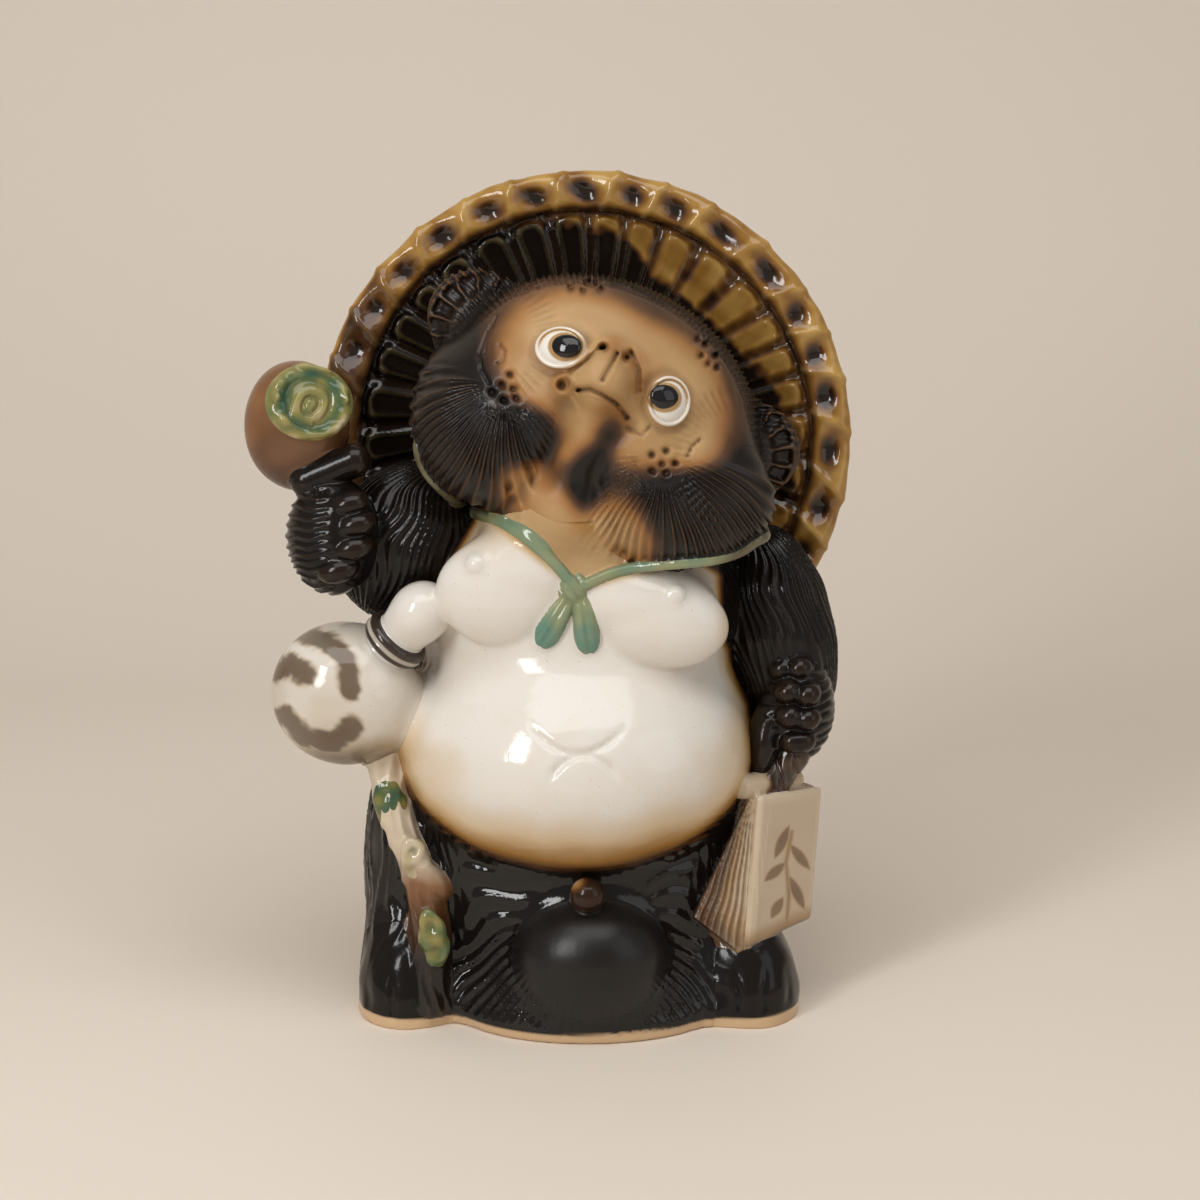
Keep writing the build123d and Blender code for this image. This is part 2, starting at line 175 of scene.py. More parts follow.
def seen(mass, pixel, lift=0.0):
    """Where a pixel falls on a mass, or the mass's nearest point to that line of sight."""
    start = mass.local(CAMERA_PLACE) / mass.radii
    along = (sight_ray(pixel) @ mass.axes) / mass.radii
    halfway = -(start @ along) / (along @ along)
    clear = start + halfway * along
    depth = np.sqrt(max(0.0, 1.0 - clear @ clear) / (along @ along))
    point = mass.centre + mass.axes @ (unit(start + (halfway - depth) * along) * mass.radii)
    return point + mass.normal(point) * lift


def melt(one, other, width):
    """Two fields joined by a soft fillet."""
    overlap = np.maximum(width - np.abs(one - other), 0.0) / width
    return np.minimum(one, other) - overlap * overlap * width * 0.25


def melted(first, *others):
    """A field melted from several: each of the others comes with its fillet."""
    def field(points):
        gap = first(points)
        for other, fillet in others:
            gap = melt(gap, other(points), fillet)
        return gap

    return field


def clustered(masses, fillet):
    """The field of masses that all melt with the same fillet."""
    return melted(masses[0].gap, *[(mass.gap, fillet) for mass in masses[1:]])


def ease(value, low, high):
    """0 below low, 1 above high, and smooth between."""
    share = np.clip((value - low) / (high - low), 0.0, 1.0)
    return share * share * (3.0 - 2.0 * share)


def bell(value, width):
    """1 at zero, falling away on both sides over a width."""
    return np.exp(-(value / width) ** 2)


def line_gap(points, route):
    """The distance to a line of points, in space or in the photograph."""
    nearest = np.full(len(points), 9.0 * FAR, np.float32)
    corners = [np.asarray(corner, np.float32) for corner in route]
    for start, end in zip(corners[:-1], corners[1:]):
        along = end - start
        away = points - start
        share = np.clip(away @ along / (along @ along), 0.0, 1.0)
        nearest = np.minimum(nearest, np.sqrt(((away - share[:, None] * along) ** 2).sum(1)))
    return nearest


def rod(line, radius):
    """The field of a round rod along a line."""
    return lambda points: line_gap(points, line) - radius


def scratch(points, routes, depth, width):
    """Grooves scratched along lines."""
    nearest = np.full(len(points), FAR, np.float32)
    for route in routes:
        nearest = np.minimum(nearest, line_gap(points, route))
    return depth * bell(nearest, width)


def pits(points, centres, depth, width):
    """Round holes pressed in at points."""
    pressed = np.zeros(len(points), np.float32)
    for centre in centres:
        away = ((points - np.asarray(centre, np.float32)) ** 2).sum(1)
        pressed = np.maximum(pressed, np.exp(-away / width ** 2))
    return depth * pressed


def groove(turns, width):
    """1 at every whole number of turns, falling to 0 over a width given as a share of the spacing."""
    return bell(turns - np.round(turns), width)


def furrows(turns):
    """Round furrows between thin crests that stand at every whole number of turns."""
    return np.abs(np.sin(np.pi * turns))


WAVES = 4
WAVE_SPREAD = (0.7, 1.4)


def wobble(points, length, seed):
    """Smooth waves of about the given length, from -1 to 1."""
    draw = np.random.default_rng(seed)
    total = np.zeros(len(points), np.float32)
    for _ in range(WAVES):
        wave = unit(draw.normal(size=3)) * TURN * draw.uniform(*WAVE_SPREAD) / length
        total += np.sin(points @ wave.astype(np.float32) + np.float32(draw.uniform(0.0, TURN)))
    return total / WAVES


FAN_START = 18.0
FAN_END = 14.0
BALD_EDGE = 0.2


def fan(points, at, origin, count, droop, reach, depth, bald):
    """Combed lines that fan out from a pixel and droop at the sides, except in a bald sector."""
    across, down = offset(at, origin)
    distance = np.hypot(across, down)
    turns = np.arctan2(across, droop * across ** 2 - down) * count / TURN
    turns = turns + 0.35 * wobble(points, length=22.0, seed=count)
    near, far = reach
    strength = ease(distance, near, near + FAN_START) * (1.0 - ease(distance, far - FAN_END, far))
    strength = strength * (0.75 + 0.25 * wobble(points, length=14.0, seed=count + 2))
    middle, half = np.radians(bald)
    off = np.abs((np.arctan2(across, -down) - middle + np.pi) % TURN - np.pi)
    return depth * strength * ease(off, half - BALD_EDGE, half + BALD_EDGE) * furrows(turns)


def combed(points, mass, count, sway, depth, seed):
    """Combed fur that runs down a mass, with locks that sway to the side."""
    inner = mass.local(points)
    angle = np.arctan2(inner[:, 0], -inner[:, 1])
    turns = angle * count / TURN + sway * inner[:, 2] + 0.9 * wobble(points, length=17.0, seed=seed)
    strength = 0.7 + 0.3 * wobble(points, length=13.0, seed=seed + 1)
    return depth * strength * furrows(turns)


def furry(mass, **fur):
    """The field of a mass that is combed all over."""
    return lambda points: mass.gap(points) + combed(points, mass, **fur)


def uneven(mass, depth, length, seed):
    """The field of a mass with a slightly uneven skin."""
    return lambda points: mass.gap(points) + depth * wobble(points, length, seed)


# Masses of the body
lower_body = Mass((8.0, 0.0, 48.0), (62.0, 46.0, 98.0))
skirt = Mass((11.0, -26.0, 4.0), (42.0, 31.0, 26.0))
belly = Mass((7.9, -18.0, 80.0), (53.0, 48.0, 37.0))
chest = Mass((8.9, -4.0, 124.0), (50.0, 41.0, 36.0))
BREAST_SINK = -1.8
right_breast = Mass(chest.at(-28, 15, BREAST_SINK), (20.0, 10.0, 16.0))
left_breast = Mass(chest.at(28, 1, BREAST_SINK), (21.0, 10.0, 14.0), turned(roll=10))
neck = Mass((6.0, -24.0, 150.0), (24.0, 20.0, 22.0))
HAUNCH_SPOT = ((406, 872), -8.0)
right_haunch = Mass(sight(*HAUNCH_SPOT), (12.5, 22.0, 36.0))
BODY_WALL = 6.0
body_hollows = [Mass(mass.centre, mass.radii - BODY_WALL) for mass in (lower_body, skirt, belly, chest)]

# Masses of the head
HEAD_CENTRE = (15.8, -12.0, 182.4)
HEAD_LEAN = 27.0
HEAD_AXES = turned(-30, HEAD_LEAN)
head = Mass(HEAD_CENTRE, (48.0, 43.0, 38.0), HEAD_AXES)
TEMPLE_SPOT = ((458, 400), -18.0)
temple = Mass(sight(*TEMPLE_SPOT), (13.0, 15.0, 16.0))
EAR_SINK = -0.5
EAR_RADII = (14.0, 7.0, 14.5)
EAR_AXES = turned(roll=15)
right_ear = Mass(head.at(-90, 13, EAR_SINK), EAR_RADII, EAR_AXES)
left_ear = Mass(head.at(88, 15, EAR_SINK), EAR_RADII, EAR_AXES)
CHEEK_FORWARD = np.array((0.0, -5.0, 0.0))
CHEEK_SINK = -5.2
right_cheek = Mass(head.at(-82, -51, CHEEK_SINK) + CHEEK_FORWARD, (22.5, 17.0, 19.5), turned(roll=30))
left_cheek = Mass(head.at(70, -37, CHEEK_SINK) + CHEEK_FORWARD, (27.0, 17.0, 18.0), turned(roll=-8))
muzzle = Mass(head.at(-9, -18, -5.0), (10.5, 15.0, 11.0), HEAD_AXES)
right_eye = seated(head, (-26, -7), (6.2, 3.0, 5.2), lift=0.7, spin=4)
left_eye = seated(head, (15, -8), (5.5, 3.0, 6.0), spin=10)
PUPIL_RADII = (4.3, 1.6, 3.4)
PUPIL_SINK = -0.5
RIGHT_PUPIL_PIXEL = (566.5, 345.5)
LEFT_PUPIL_PIXEL = (664.5, 396.5)
right_pupil = Mass(seen(right_eye, RIGHT_PUPIL_PIXEL, PUPIL_SINK), PUPIL_RADII, right_eye.axes)
left_pupil = Mass(seen(left_eye, LEFT_PUPIL_PIXEL, PUPIL_SINK), PUPIL_RADII, left_eye.axes)

# Masses of the arms and what they hold
raised_arm = Mass(chest.at(-85, 23, 8.0), (21.0, 20.0, 25.0), turned(roll=25))
raised_paw = Mass(raised_arm.at(-51, -8, 5.7), (13.8, 14.0, 18.0))
STAFF_SEAT = (-132, 66)
staff_knob = Mass(raised_paw.at(*STAFF_SEAT, 17.0), (15.5, 15.0, 19.5))
staff_end = seated(staff_knob, (22, 27), (13.5, 3.4, 11.5))
FLASK_RADII = (22.0, 19.0, 21.5)
FLASK_SINK = 1.5
flask = Mass(belly.at(-84, 17, FLASK_RADII[0] - FLASK_SINK), FLASK_RADII, turned(roll=25))
FLASK_NECK_SEAT = (54, 70)
FLASK_NECK_LENGTH = 14.8
FLASK_NECK_RADIUS = 7.6
flask_lip = seated(flask, FLASK_NECK_SEAT, (9.8, 9.6, 8.6), FLASK_NECK_LENGTH)
lowered_arm = Mass(chest.at(90, -12, 12.3), (17.0, 20.0, 34.0), turned(roll=-12))
lowered_paw = Mass(lowered_arm.at(2, -41, -3.0), (11.5, 13.0, 17.0))
STAFF_RADIUS = 5.2
staff_top = lower_body.at(-62, 21, 6.0)
staff_foot = lower_body.at(-40, -30, 12.0)
BOOK_HEIGHT = 47.0
BOOK_WIDTH = 27.0
BOOK_SPREAD_BELOW = 24.0
BOOK_SPREAD_ABOVE = 8.0
BOOK_COVER = 2.4
BOOK_AXES = turned(0, 5, 41)
book_place = lower_body.at(49, -0.6, 7.0)
book = Mass(book_place, (BOOK_WIDTH, BOOK_SPREAD_BELOW, BOOK_HEIGHT), BOOK_AXES)

# Masses of the feet, pouch and tail
FOOT_RADII = (15.5, 20.0, 14.0)
right_foot = Mass(lower_body.at(-58, -21, 3.0), FOOT_RADII)
left_foot = Mass(lower_body.at(59, -20, 3.0), FOOT_RADII)
POUCH_FORWARD = np.array((0.0, -7.0, 0.0))
pouch = Mass(skirt.at(3, 63, -4.0) + POUCH_FORWARD, (21.5, 17.0, 17.5))
pouch_knob = ball(pouch.at(-6, 75, 4.5), 5.2)
tail = Mass(lower_body.at(180, -7, -1.7), (17.0, 13.0, 30.0))

# Hat: its local Z faces the front
HAT_RADIUS = 81.0
HAT_RIM_WIDTH = 12.0
HAT_RIM_THICKNESS = 10.0
HAT_RIM_MIDDLE = HAT_RADIUS - HAT_RIM_WIDTH / 2
BRIM_RADIUS = HAT_RADIUS - HAT_RIM_WIDTH
HAT_DISH_DEPTH = 16.0
HAT_DISH_CURVE = 2.32
HAT_BRIM_THICKNESS = 8.0
HAT_TILT = 8.0
HAT_ASIDE = 5.5
HAT_BELOW_HEAD = 12.5
HAT_SINK = 2.0
HAT_ROOM = 12.0
HAT_DIMPLES = 31
HAT_FLUTES = 34
hat = Mass(
    (
        HEAD_CENTRE[0] - HAT_ASIDE,
        head.box()[1][1] - HAT_DISH_DEPTH - HAT_SINK,
        HEAD_CENTRE[2] - HAT_BELOW_HEAD,
    ),
    (HAT_RADIUS, HAT_RADIUS, HAT_DISH_DEPTH + HAT_ROOM),
    turned(90.0 - HAT_TILT),
)

# Cord in relief under the chin
CORD_RADIUS = 1.6
cord_knot = Mass(chest.at(-2, 18, 1.0), (4.6, 4.0, 5.0))
CORD_TAIL_RADII = (3.4, 2.6, 9.0)
right_cord_tail = seated(chest, (-8, 3), CORD_TAIL_RADII, lift=0.5, spin=30)
left_cord_tail = seated(chest, (2, 2), CORD_TAIL_RADII, lift=0.5, spin=-8)


def smooth_route(route):
    """The smooth line that a route's points control, as Blender draws it."""
    curve = bpy.data.curves.new("route", "CURVE")
    curve.dimensions = "3D"
    spline = curve.splines.new("NURBS")
    spline.points.add(len(route) - 1)
    for point, place in zip(spline.points, route):
        point.co = (*place, 1.0)
    spline.order_u = 3
    spline.use_endpoint_u = True
    holder = bpy.data.objects.new("route", curve)
    drawn = bpy.data.meshes.new_from_object(holder)
    line = [np.array(vertex.co, float) for vertex in drawn.vertices]
    bpy.data.meshes.remove(drawn)
    bpy.data.objects.remove(holder)
    bpy.data.curves.remove(curve)
    return line


# Body. Each arc of the navel has its middle, its half width and how far its ends drop, in pixels.
NAVEL_ARCS = (((578, 754), 47.0, -26.0), ((584, 755), 36.0, 25.0))
NAVEL_WIDTH = 3.6
NAVEL_DEPTH = 1.3
POUCH_MIDDLE = (592, 940)
POUCH_FAN_REACH = (68.0, 160.0)
UPWARD = (0.0, 42.0)
FOOT_BAND = 3.2
GLAZE_THICKNESS = 0.35
BELLY_FRINGE = 62
SKIRT_FILLET = 9.0
HAUNCH_FILLET = 10.0
NECK_FILLET = 8.0
BELLY_FILLET = 13.0
WAIST_CREASE = 3.5
BACK_FILLET = 7.0
BREAST_CREASE = 1.2
BREAST_FILLET = 10.0


def bare(points):
    """1 on the unglazed clay along the foot, and 0 above it."""
    edge = FOOT_BAND + 0.9 * wobble(points, length=40.0, seed=21)
    return 1.0 - ease(points[:, 2], edge - 0.3, edge + 0.4)


def breasted(points, field, breast):
    """A breast added to a field: it runs out softly above and ends in a crease below."""
    height = points[:, 2] - breast.centre[2]
    return melt(field, breast.gap(points), BREAST_CREASE + BREAST_FILLET * ease(height, -4.0, 9.0))


def navel_cut(at):
    """Two arcs back to back."""
    cut = np.zeros(len(at), np.float32)
    for (x, y), half, drop in NAVEL_ARCS:
        share = (at[:, 0] - x) / half
        off = (at[:, 1] - y - drop * share ** 2) / np.hypot(1.0, 2.0 * drop * share / half)
        cut = np.maximum(cut, bell(off, NAVEL_WIDTH) * (1.0 - ease(np.abs(share), 0.7, 1.1)))
    return cut


def belly_fringe(points):
    """How strongly the lower edge of the belly is combed, and the furrows there."""
    rim = np.hypot(*((points[:, (0, 2)] - belly.centre[[0, 2]]) / belly.radii[[0, 2]]).T)
    around = np.arctan2(points[:, 0] - belly.centre[0], points[:, 2] - belly.centre[2])
    strength = ease(rim, 0.78, 0.95) * ease(-np.cos(around), 0.1, 0.6)
    loose = 0.4 * wobble(points, length=15.0, seed=8)
    return strength, furrows(around * BELLY_FRINGE / TURN + 4.0 * rim + loose)


low_form = melted(lower_body.gap, (skirt.gap, SKIRT_FILLET), (right_haunch.gap, HAUNCH_FILLET))
upper_form = melted(chest.gap, (neck.gap, NECK_FILLET))


def body_gap(points):
    at = shown(points)
    low = low_form(points)
    upper = upper_form(points)
    round_belly = belly.gap(points)
    fur = ease(np.minimum(upper, round_belly) - low, 0.5, 4.0)
    behind = ease(points[:, 1], 0.0, 12.0)
    side = np.maximum(behind, ease(np.abs(points[:, 0] - lower_body.centre[0]), 30.0, 42.0))
    low = low + fur * side * combed(points, lower_body, count=96, sway=0.035, depth=1.1, seed=3)
    locks = fan(points, at, POUCH_MIDDLE, 48, droop=0.006, reach=POUCH_FAN_REACH, depth=1.7, bald=UPWARD)
    low = low + fur * (1.0 - side) * locks * ease(points[:, 2], 3.0, 9.0)
    combing, lines = belly_fringe(points)
    back_fur = behind * combed(points, chest, count=96, sway=0.03, depth=0.7, seed=5)
    front = melt(upper + back_fur, round_belly + combing * lines, BELLY_FILLET)
    field = melt(low, front, WAIST_CREASE + BACK_FILLET * behind)
    field = breasted(points, breasted(points, field, right_breast), left_breast)
    navel = NAVEL_DEPTH * navel_cut(at) * (1.0 - behind)
    return field + navel + GLAZE_THICKNESS * bare(points)


def hollow_gap(points):
    return np.min([mass.gap(points) for mass in body_hollows], axis=0)


# Head. Fur sectors without lines have a middle and a half width in degrees.
FOREHEAD_DOTS = ((571, 289), (583, 291), (594, 284), (600, 290), (588, 283))
TEMPLE_DOTS = ((697, 340), (704, 345), (714, 356), (708, 364), (701, 356), (716, 368))
RIGHT_CHEEK_DOTS = ((492, 392), (502, 385), (514, 389), (504, 400), (510, 375), (516, 398))
LEFT_CHEEK_DOTS = ((652, 455), (666, 451), (662, 464), (675, 463), (652, 471), (666, 473))
FACE_DOTS = FOREHEAD_DOTS + TEMPLE_DOTS + RIGHT_CHEEK_DOTS + LEFT_CHEEK_DOTS
BROW_LINES = (
    ((497, 317), (487, 333), (480, 353), (482, 370), (489, 384)),
    ((495, 322), (488, 338), (485, 354)),
    ((500, 345), (505, 351), (503, 361), (497, 364)),
    ((700, 440), (692, 447), (688, 456)),
    ((628, 428), (642, 436), (650, 427)),
)
CHEEK_DENTS = ((529, 467), (508, 487), (516, 499), (620, 552))
RIGHT_THROAT_GROOVE = ((566, 408), (562, 432), (550, 458), (540, 478))
LEFT_THROAT_GROOVE = ((628, 426), (610, 446), (597, 472), (590, 505))
MOUTH_LINE = ((579, 390), (590, 389), (602, 394), (615, 402), (627, 417))
SNOUT_LINES = (
    ((617, 354), (611, 366), (603, 380)),
    ((631, 352), (639, 370), (638, 392)),
    ((571, 371), (585, 363), (600, 348)),
)
NOSTRILS = ((604, 348), (626, 358))
MOUTH_CORNER = (563, 385)
MOUTH_CORNER_RING = 9.0
RIGHT_CHEEK_EDGE = ((570, 395), (538, 490))
LEFT_CHEEK_EDGE = ((632, 415), (588, 510))
RIGHT_FUR_ORIGIN = (503, 390)
LEFT_FUR_ORIGIN = (663, 462)
RIGHT_FUR_BALD = (22.0, 92.0)
LEFT_FUR_BALD = (8.0, 88.0)
CHEEK_FUR = dict(droop=0.006, reach=(14.0, 190.0), depth=1.3)
RIGHT_EAR_MIDDLE = (480, 334)
LEFT_EAR_MIDDLE = (748, 460)
EAR_FUR = dict(droop=0.0, reach=(46.0, 84.0), depth=0.6)
LEFTWARD = (-100.0, 105.0)
RIGHTWARD = (95.0, 105.0)
TO_CAMERA = unit(CAMERA_PLACE - head.centre)
HEAD_MIDDLE = (603, 410)
CROWN_NOTCHES = 150
CROWN_DEPTH = 1.1
TEMPLE_FILLET = 9.0
SOCKET_DEPTH = 0.6
SOCKET_REACH = 1.35
SOCKET_WIDTH = 0.28


def eye_place(points, eye):
    """Points in an eye's own frame, and how far they are from its middle, 1 on its edge."""
    inner = eye.local(points)
    return inner, np.hypot(inner[:, 0] / eye.radii[0], inner[:, 2] / eye.radii[2])


def socket(points, eye):
    """The shallow hollow round an eye."""
    inner, ring = eye_place(points, eye)
    front = ease(-inner[:, 1] / eye.radii[1], -2.5, 0.0)
    return SOCKET_DEPTH * bell(ring - SOCKET_REACH, SOCKET_WIDTH) * front


def face_relief(points):
    """What is pressed and combed into the head, cheeks and muzzle, as a depth below the plain form."""
    at = shown(points)
    cut = scratch(at, [RIGHT_THROAT_GROOVE], depth=3.4, width=13.0)
    cut += scratch(at, [LEFT_THROAT_GROOVE], depth=2.6, width=12.0)
    cut += scratch(at, BROW_LINES, depth=0.8, width=1.8)
    cut += scratch(at, [MOUTH_LINE], depth=2.0, width=2.8)
    cut += scratch(at, SNOUT_LINES, depth=1.2, width=2.8)
    cut += pits(at, NOSTRILS, depth=2.6, width=4.8)
    cut += pits(at, FACE_DOTS, depth=1.8, width=4.0)
    cut += pits(at, CHEEK_DENTS, depth=1.6, width=6.5)
    corner = np.hypot(*offset(at, MOUTH_CORNER))
    cut += 1.8 * bell(corner, 5.0) - 0.9 * bell(corner - MOUTH_CORNER_RING, 3.0)
    right_fur = fan(points, at, RIGHT_FUR_ORIGIN, 46, bald=RIGHT_FUR_BALD, **CHEEK_FUR)
    left_fur = fan(points, at, LEFT_FUR_ORIGIN, 48, bald=LEFT_FUR_BALD, **CHEEK_FUR)
    cut += right_fur * ease(-past(at, RIGHT_CHEEK_EDGE), 0.0, 10.0)
    cut += left_fur * ease(past(at, LEFT_CHEEK_EDGE), 0.0, 10.0)
    cut += fan(points, at, RIGHT_EAR_MIDDLE, 64, bald=LEFTWARD, **EAR_FUR)
    cut += fan(points, at, LEFT_EAR_MIDDLE, 60, bald=RIGHTWARD, **EAR_FUR)
    cut = cut * ease(head.centre[1] + 6.0 - points[:, 1], 0.0, 10.0)
    outward = head.local(points) / head.radii ** 2
    facing = outward @ (TO_CAMERA @ head.axes).astype(np.float32) / np.sqrt((outward ** 2).sum(1))
    across, down = offset(at, HEAD_MIDDLE)
    turn = np.arctan2(across, -down)
    crown = ease(0.5 - facing, 0.0, 0.12) * ease(facing, -0.3, 0.0) * ease(np.cos(turn - 0.4), 0.1, 0.4)
    notches = furrows(turn * CROWN_NOTCHES / TURN + 0.2 * wobble(points, length=20.0, seed=31))
    cut += crown * CROWN_DEPTH * notches
    cut += ease(-facing, 0.0, 0.3) * combed(points, head, count=90, sway=0.03, depth=0.6, seed=33)
    return cut + socket(points, right_eye) + socket(points, left_eye)


head_gap = melted(head.gap, (temple.gap, TEMPLE_FILLET))

# Eyes: a flat ball in a thin round lid
LID_REACH = 1.09
LID_RADIUS = 0.6
LID_FORWARD = 0.9
LID_FILLET = 0.4


def eye_gap(points, eye):
    inner, ring = eye_place(points, eye)
    lid = np.hypot((ring - LID_REACH) * eye.radii[2], inner[:, 1] + LID_FORWARD) - LID_RADIUS
    return melt(eye.gap(points), lid, LID_FILLET)


def eye_tone(points, eye, pupil):
    inner, ring = eye_place(points, eye)
    line = bell(ring - 1.0, 0.06) * (0.25 + 0.75 * ease(inner[:, 2], -2.0, 2.5))
    iris = 1.0 - ease(pupil.gap(points), 0.7, 1.4)
    return np.maximum(0.75 * line, 0.62 * iris) + 0.2 * ease(ring, 1.02, 1.2)


# Ears: a thin rim round a ring of deep pits, whose middle is shifted across and up in the ear
EAR_PITS = 16
EAR_PIT_DEPTH = 3.2
EAR_RING = 13.2
EAR_CHANNEL = 2.9
RIGHT_EAR_RING = (3.8, -2.6)
LEFT_EAR_RING = (-4.6, -1.6)


def ear_gap(points, ear, ring_shift):
    inner = ear.local(points)
    side = inner[:, 0] - ring_shift[0]
    rise = inner[:, 2] - ring_shift[1]
    distance = np.hypot(side, rise)
    turns = np.arctan2(side, rise) * EAR_PITS / TURN + 0.08 * wobble(points, length=9.0, seed=35)
    channel = np.exp(-((distance - EAR_RING) / EAR_CHANNEL) ** 4)
    front = ease(-inner[:, 1], -1.0, 1.5)
    rib = groove(turns, width=0.16)
    lines = furrows(turns * 2.0) * ease(EAR_RING - 3.0 - distance, 0.0, 2.0)
    return ear.gap(points) + front * (EAR_PIT_DEPTH * channel * (1.0 - 0.8 * rib) + 0.7 * lines)


# Muzzle: upper snout, nose pad, lower jaw and the throat below it
SNOUT_PIXEL = (611, 377)
NOSE_PIXEL = (614, 350)
JAW_PIXEL = (597, 410)
upper_snout = Mass(seen(muzzle, SNOUT_PIXEL, -9.0), (8.6, 11.0, 8.4), HEAD_AXES)
nose = Mass(seen(muzzle, NOSE_PIXEL, -2.0), (5.2, 4.2, 3.5), HEAD_AXES)
lower_jaw = Mass(seen(muzzle, JAW_PIXEL, -11.0), (8.2, 8.6, 6.4), HEAD_AXES)
SNOUT_EDGES = (((606, 352), (592, 362), (576, 376)), ((628, 360), (635, 378), (634, 400)))
SNOUT_EDGE_RADIUS = 2.4
SNOUT_EDGE_SINK = -1.4
snout_edges = [[seen(upper_snout, pixel, SNOUT_EDGE_SINK) for pixel in edge] for edge in SNOUT_EDGES]
THROAT_SPOTS = (((594, 422), -47.0), ((575, 452), -46.0), ((554, 490), -40.0))
THROAT_RADIUS = 4.6
throat_line = sighted(THROAT_SPOTS)
THROAT_FLOOR_SPOTS = (((612, 440), -43.0), ((594, 470), -41.0), ((585, 512), -40.0))
THROAT_FLOOR_RADIUS = 4.0
throat_floor = sighted(THROAT_FLOOR_SPOTS)
NOSE_FILLET = 4.0
SNOUT_EDGE_FILLET = 2.5
THROAT_LINE_FILLET = 6.0
THROAT_FLOOR_FILLET = 8.0
MOUTH_FILLET = 3.0
edge_fields = [(rod(edge, SNOUT_EDGE_RADIUS), SNOUT_EDGE_FILLET) for edge in snout_edges]
snout_gap = melted(upper_snout.gap, (nose.gap, NOSE_FILLET), *edge_fields)
jaw_gap = melted(
    lower_jaw.gap,
    (rod(throat_line, THROAT_RADIUS), THROAT_LINE_FILLET),
    (rod(throat_floor, THROAT_FLOOR_RADIUS), THROAT_FLOOR_FILLET),
)
muzzle_gap = melted(snout_gap, (jaw_gap, MOUTH_FILLET))

# Paws: curled fingers in front, combed fur on the back of the hand
RAISED_FINGERS = ((350, 502), (357, 524), (354, 549), (338, 572))
LOWERED_FINGERS = ((781, 667), (787, 691), (789, 716), (792, 742))
LOWERED_KNUCKLES = ((799, 666), (808, 694), (808, 719), (803, 742))
KNUCKLE_RADII = (4.2, 4.6, 3.7)
FINGER_RADII = (6.2, 5.0, 3.9)
FINGER_AXES = turned(roll=-14)
THUMB_ROUTE = ((-71.0, -25.0, 163.5), (-57.0, -25.0, 169.5))
THUMB_RADIUS = 5.0
PALM_SPOT = ((762, 742), -22.0)
palm = Mass(sight(*PALM_SPOT), (5.0, 9.0, 11.0), turned(roll=8))


def fingers(paw, pixels, radii, sink):
    return [Mass(seen(paw, pixel, -sink), radii, FINGER_AXES) for pixel in pixels]


raised_fingers = fingers(raised_paw, RAISED_FINGERS, FINGER_RADII, sink=1.2)
lowered_fingers = fingers(lowered_paw, LOWERED_FINGERS, KNUCKLE_RADII, sink=0.6)
lowered_fingers += fingers(lowered_paw, LOWERED_KNUCKLES, KNUCKLE_RADII, sink=0.9)
PAW_FUR_SPACING = 2.6
PAW_FUR_BEND = 0.012
PAW_FUR_DEPTH = 0.75
RAISED_FINGER_FILLET = 0.9
RAISED_HAND_FILLET = 1.0
THUMB_FILLET = 1.2
LOWERED_FINGER_FILLET = 0.8
LOWERED_HAND_FILLET = 0.9
PALM_FILLET = 5.0
LOWERED_FUR_SPACING = 3.0


def raised_hand_gap(points):
    inner = raised_paw.local(points)
    rows = (inner[:, 2] + PAW_FUR_BEND * inner[:, 0] ** 2) / PAW_FUR_SPACING
    fur = PAW_FUR_DEPTH * furrows(rows + 0.5 * wobble(points, length=12.0, seed=41))
    return raised_paw.gap(points) + ease(2.0 - inner[:, 0], 0.0, 4.0) * fur


def lowered_hand_gap(points):
    rows = points[:, 2] / LOWERED_FUR_SPACING + 0.4 * wobble(points, length=12.0, seed=43)
    return lowered_paw.gap(points) + 0.5 * groove(rows, width=0.2)


raised_paw_gap = melted(
    raised_hand_gap,
    (clustered(raised_fingers, RAISED_FINGER_FILLET), RAISED_HAND_FILLET),
    (rod(THUMB_ROUTE, THUMB_RADIUS), THUMB_FILLET),
)
lowered_paw_gap = melted(
    lowered_hand_gap,
    (palm.gap, PALM_FILLET),
    (clustered(lowered_fingers, LOWERED_FINGER_FILLET), LOWERED_HAND_FILLET),
)
raised_arm_gap = furry(raised_arm, count=44, sway=0.03, depth=0.9, seed=45)
lowered_arm_fur = furry(lowered_arm, count=40, sway=0.03, depth=1.0, seed=47)


def lowered_arm_gap(points):
    return lowered_arm_fur(points) + 0.32 * wobble(points, length=19.0, seed=49)


# Staff: a stump with a swirled cut end above the paw, a knotted shaft below
def staff_end_place(points):
    """Points in the cut end's own frame, and how far they are from its middle."""
    inner = staff_end.local(points)
    reach = np.hypot(*staff_end.radii[[0, 2]])
    return inner, np.hypot(inner[:, 0], inner[:, 2]) / reach * np.sqrt(2.0)


def staff_end_gap(points):
    inner, distance = staff_end_place(points)
    angle = np.arctan2(inner[:, 0], inner[:, 2])
    loose = 0.3 * wobble(points, length=9.0, seed=51)
    swirl = groove(distance * 2.3 - 0.55 * np.abs(angle - 0.6) / np.pi + loose, width=0.2)
    rim = bell(distance - 0.84, 0.14) * (0.9 + 0.9 * wobble(points, length=6.0, seed=53))
    front = ease(-inner[:, 1], -1.0, 1.0)
    return staff_end.gap(points) + front * (1.1 * swirl * ease(0.7 - distance, 0.0, 0.1) + 1.0 - 1.5 * rim)


def staff_end_tone(points):
    _, distance = staff_end_place(points)
    ring = bell(distance - 0.66, 0.12)
    return 0.38 + 0.3 * ring + 0.25 * wobble(points, length=7.0, seed=54)


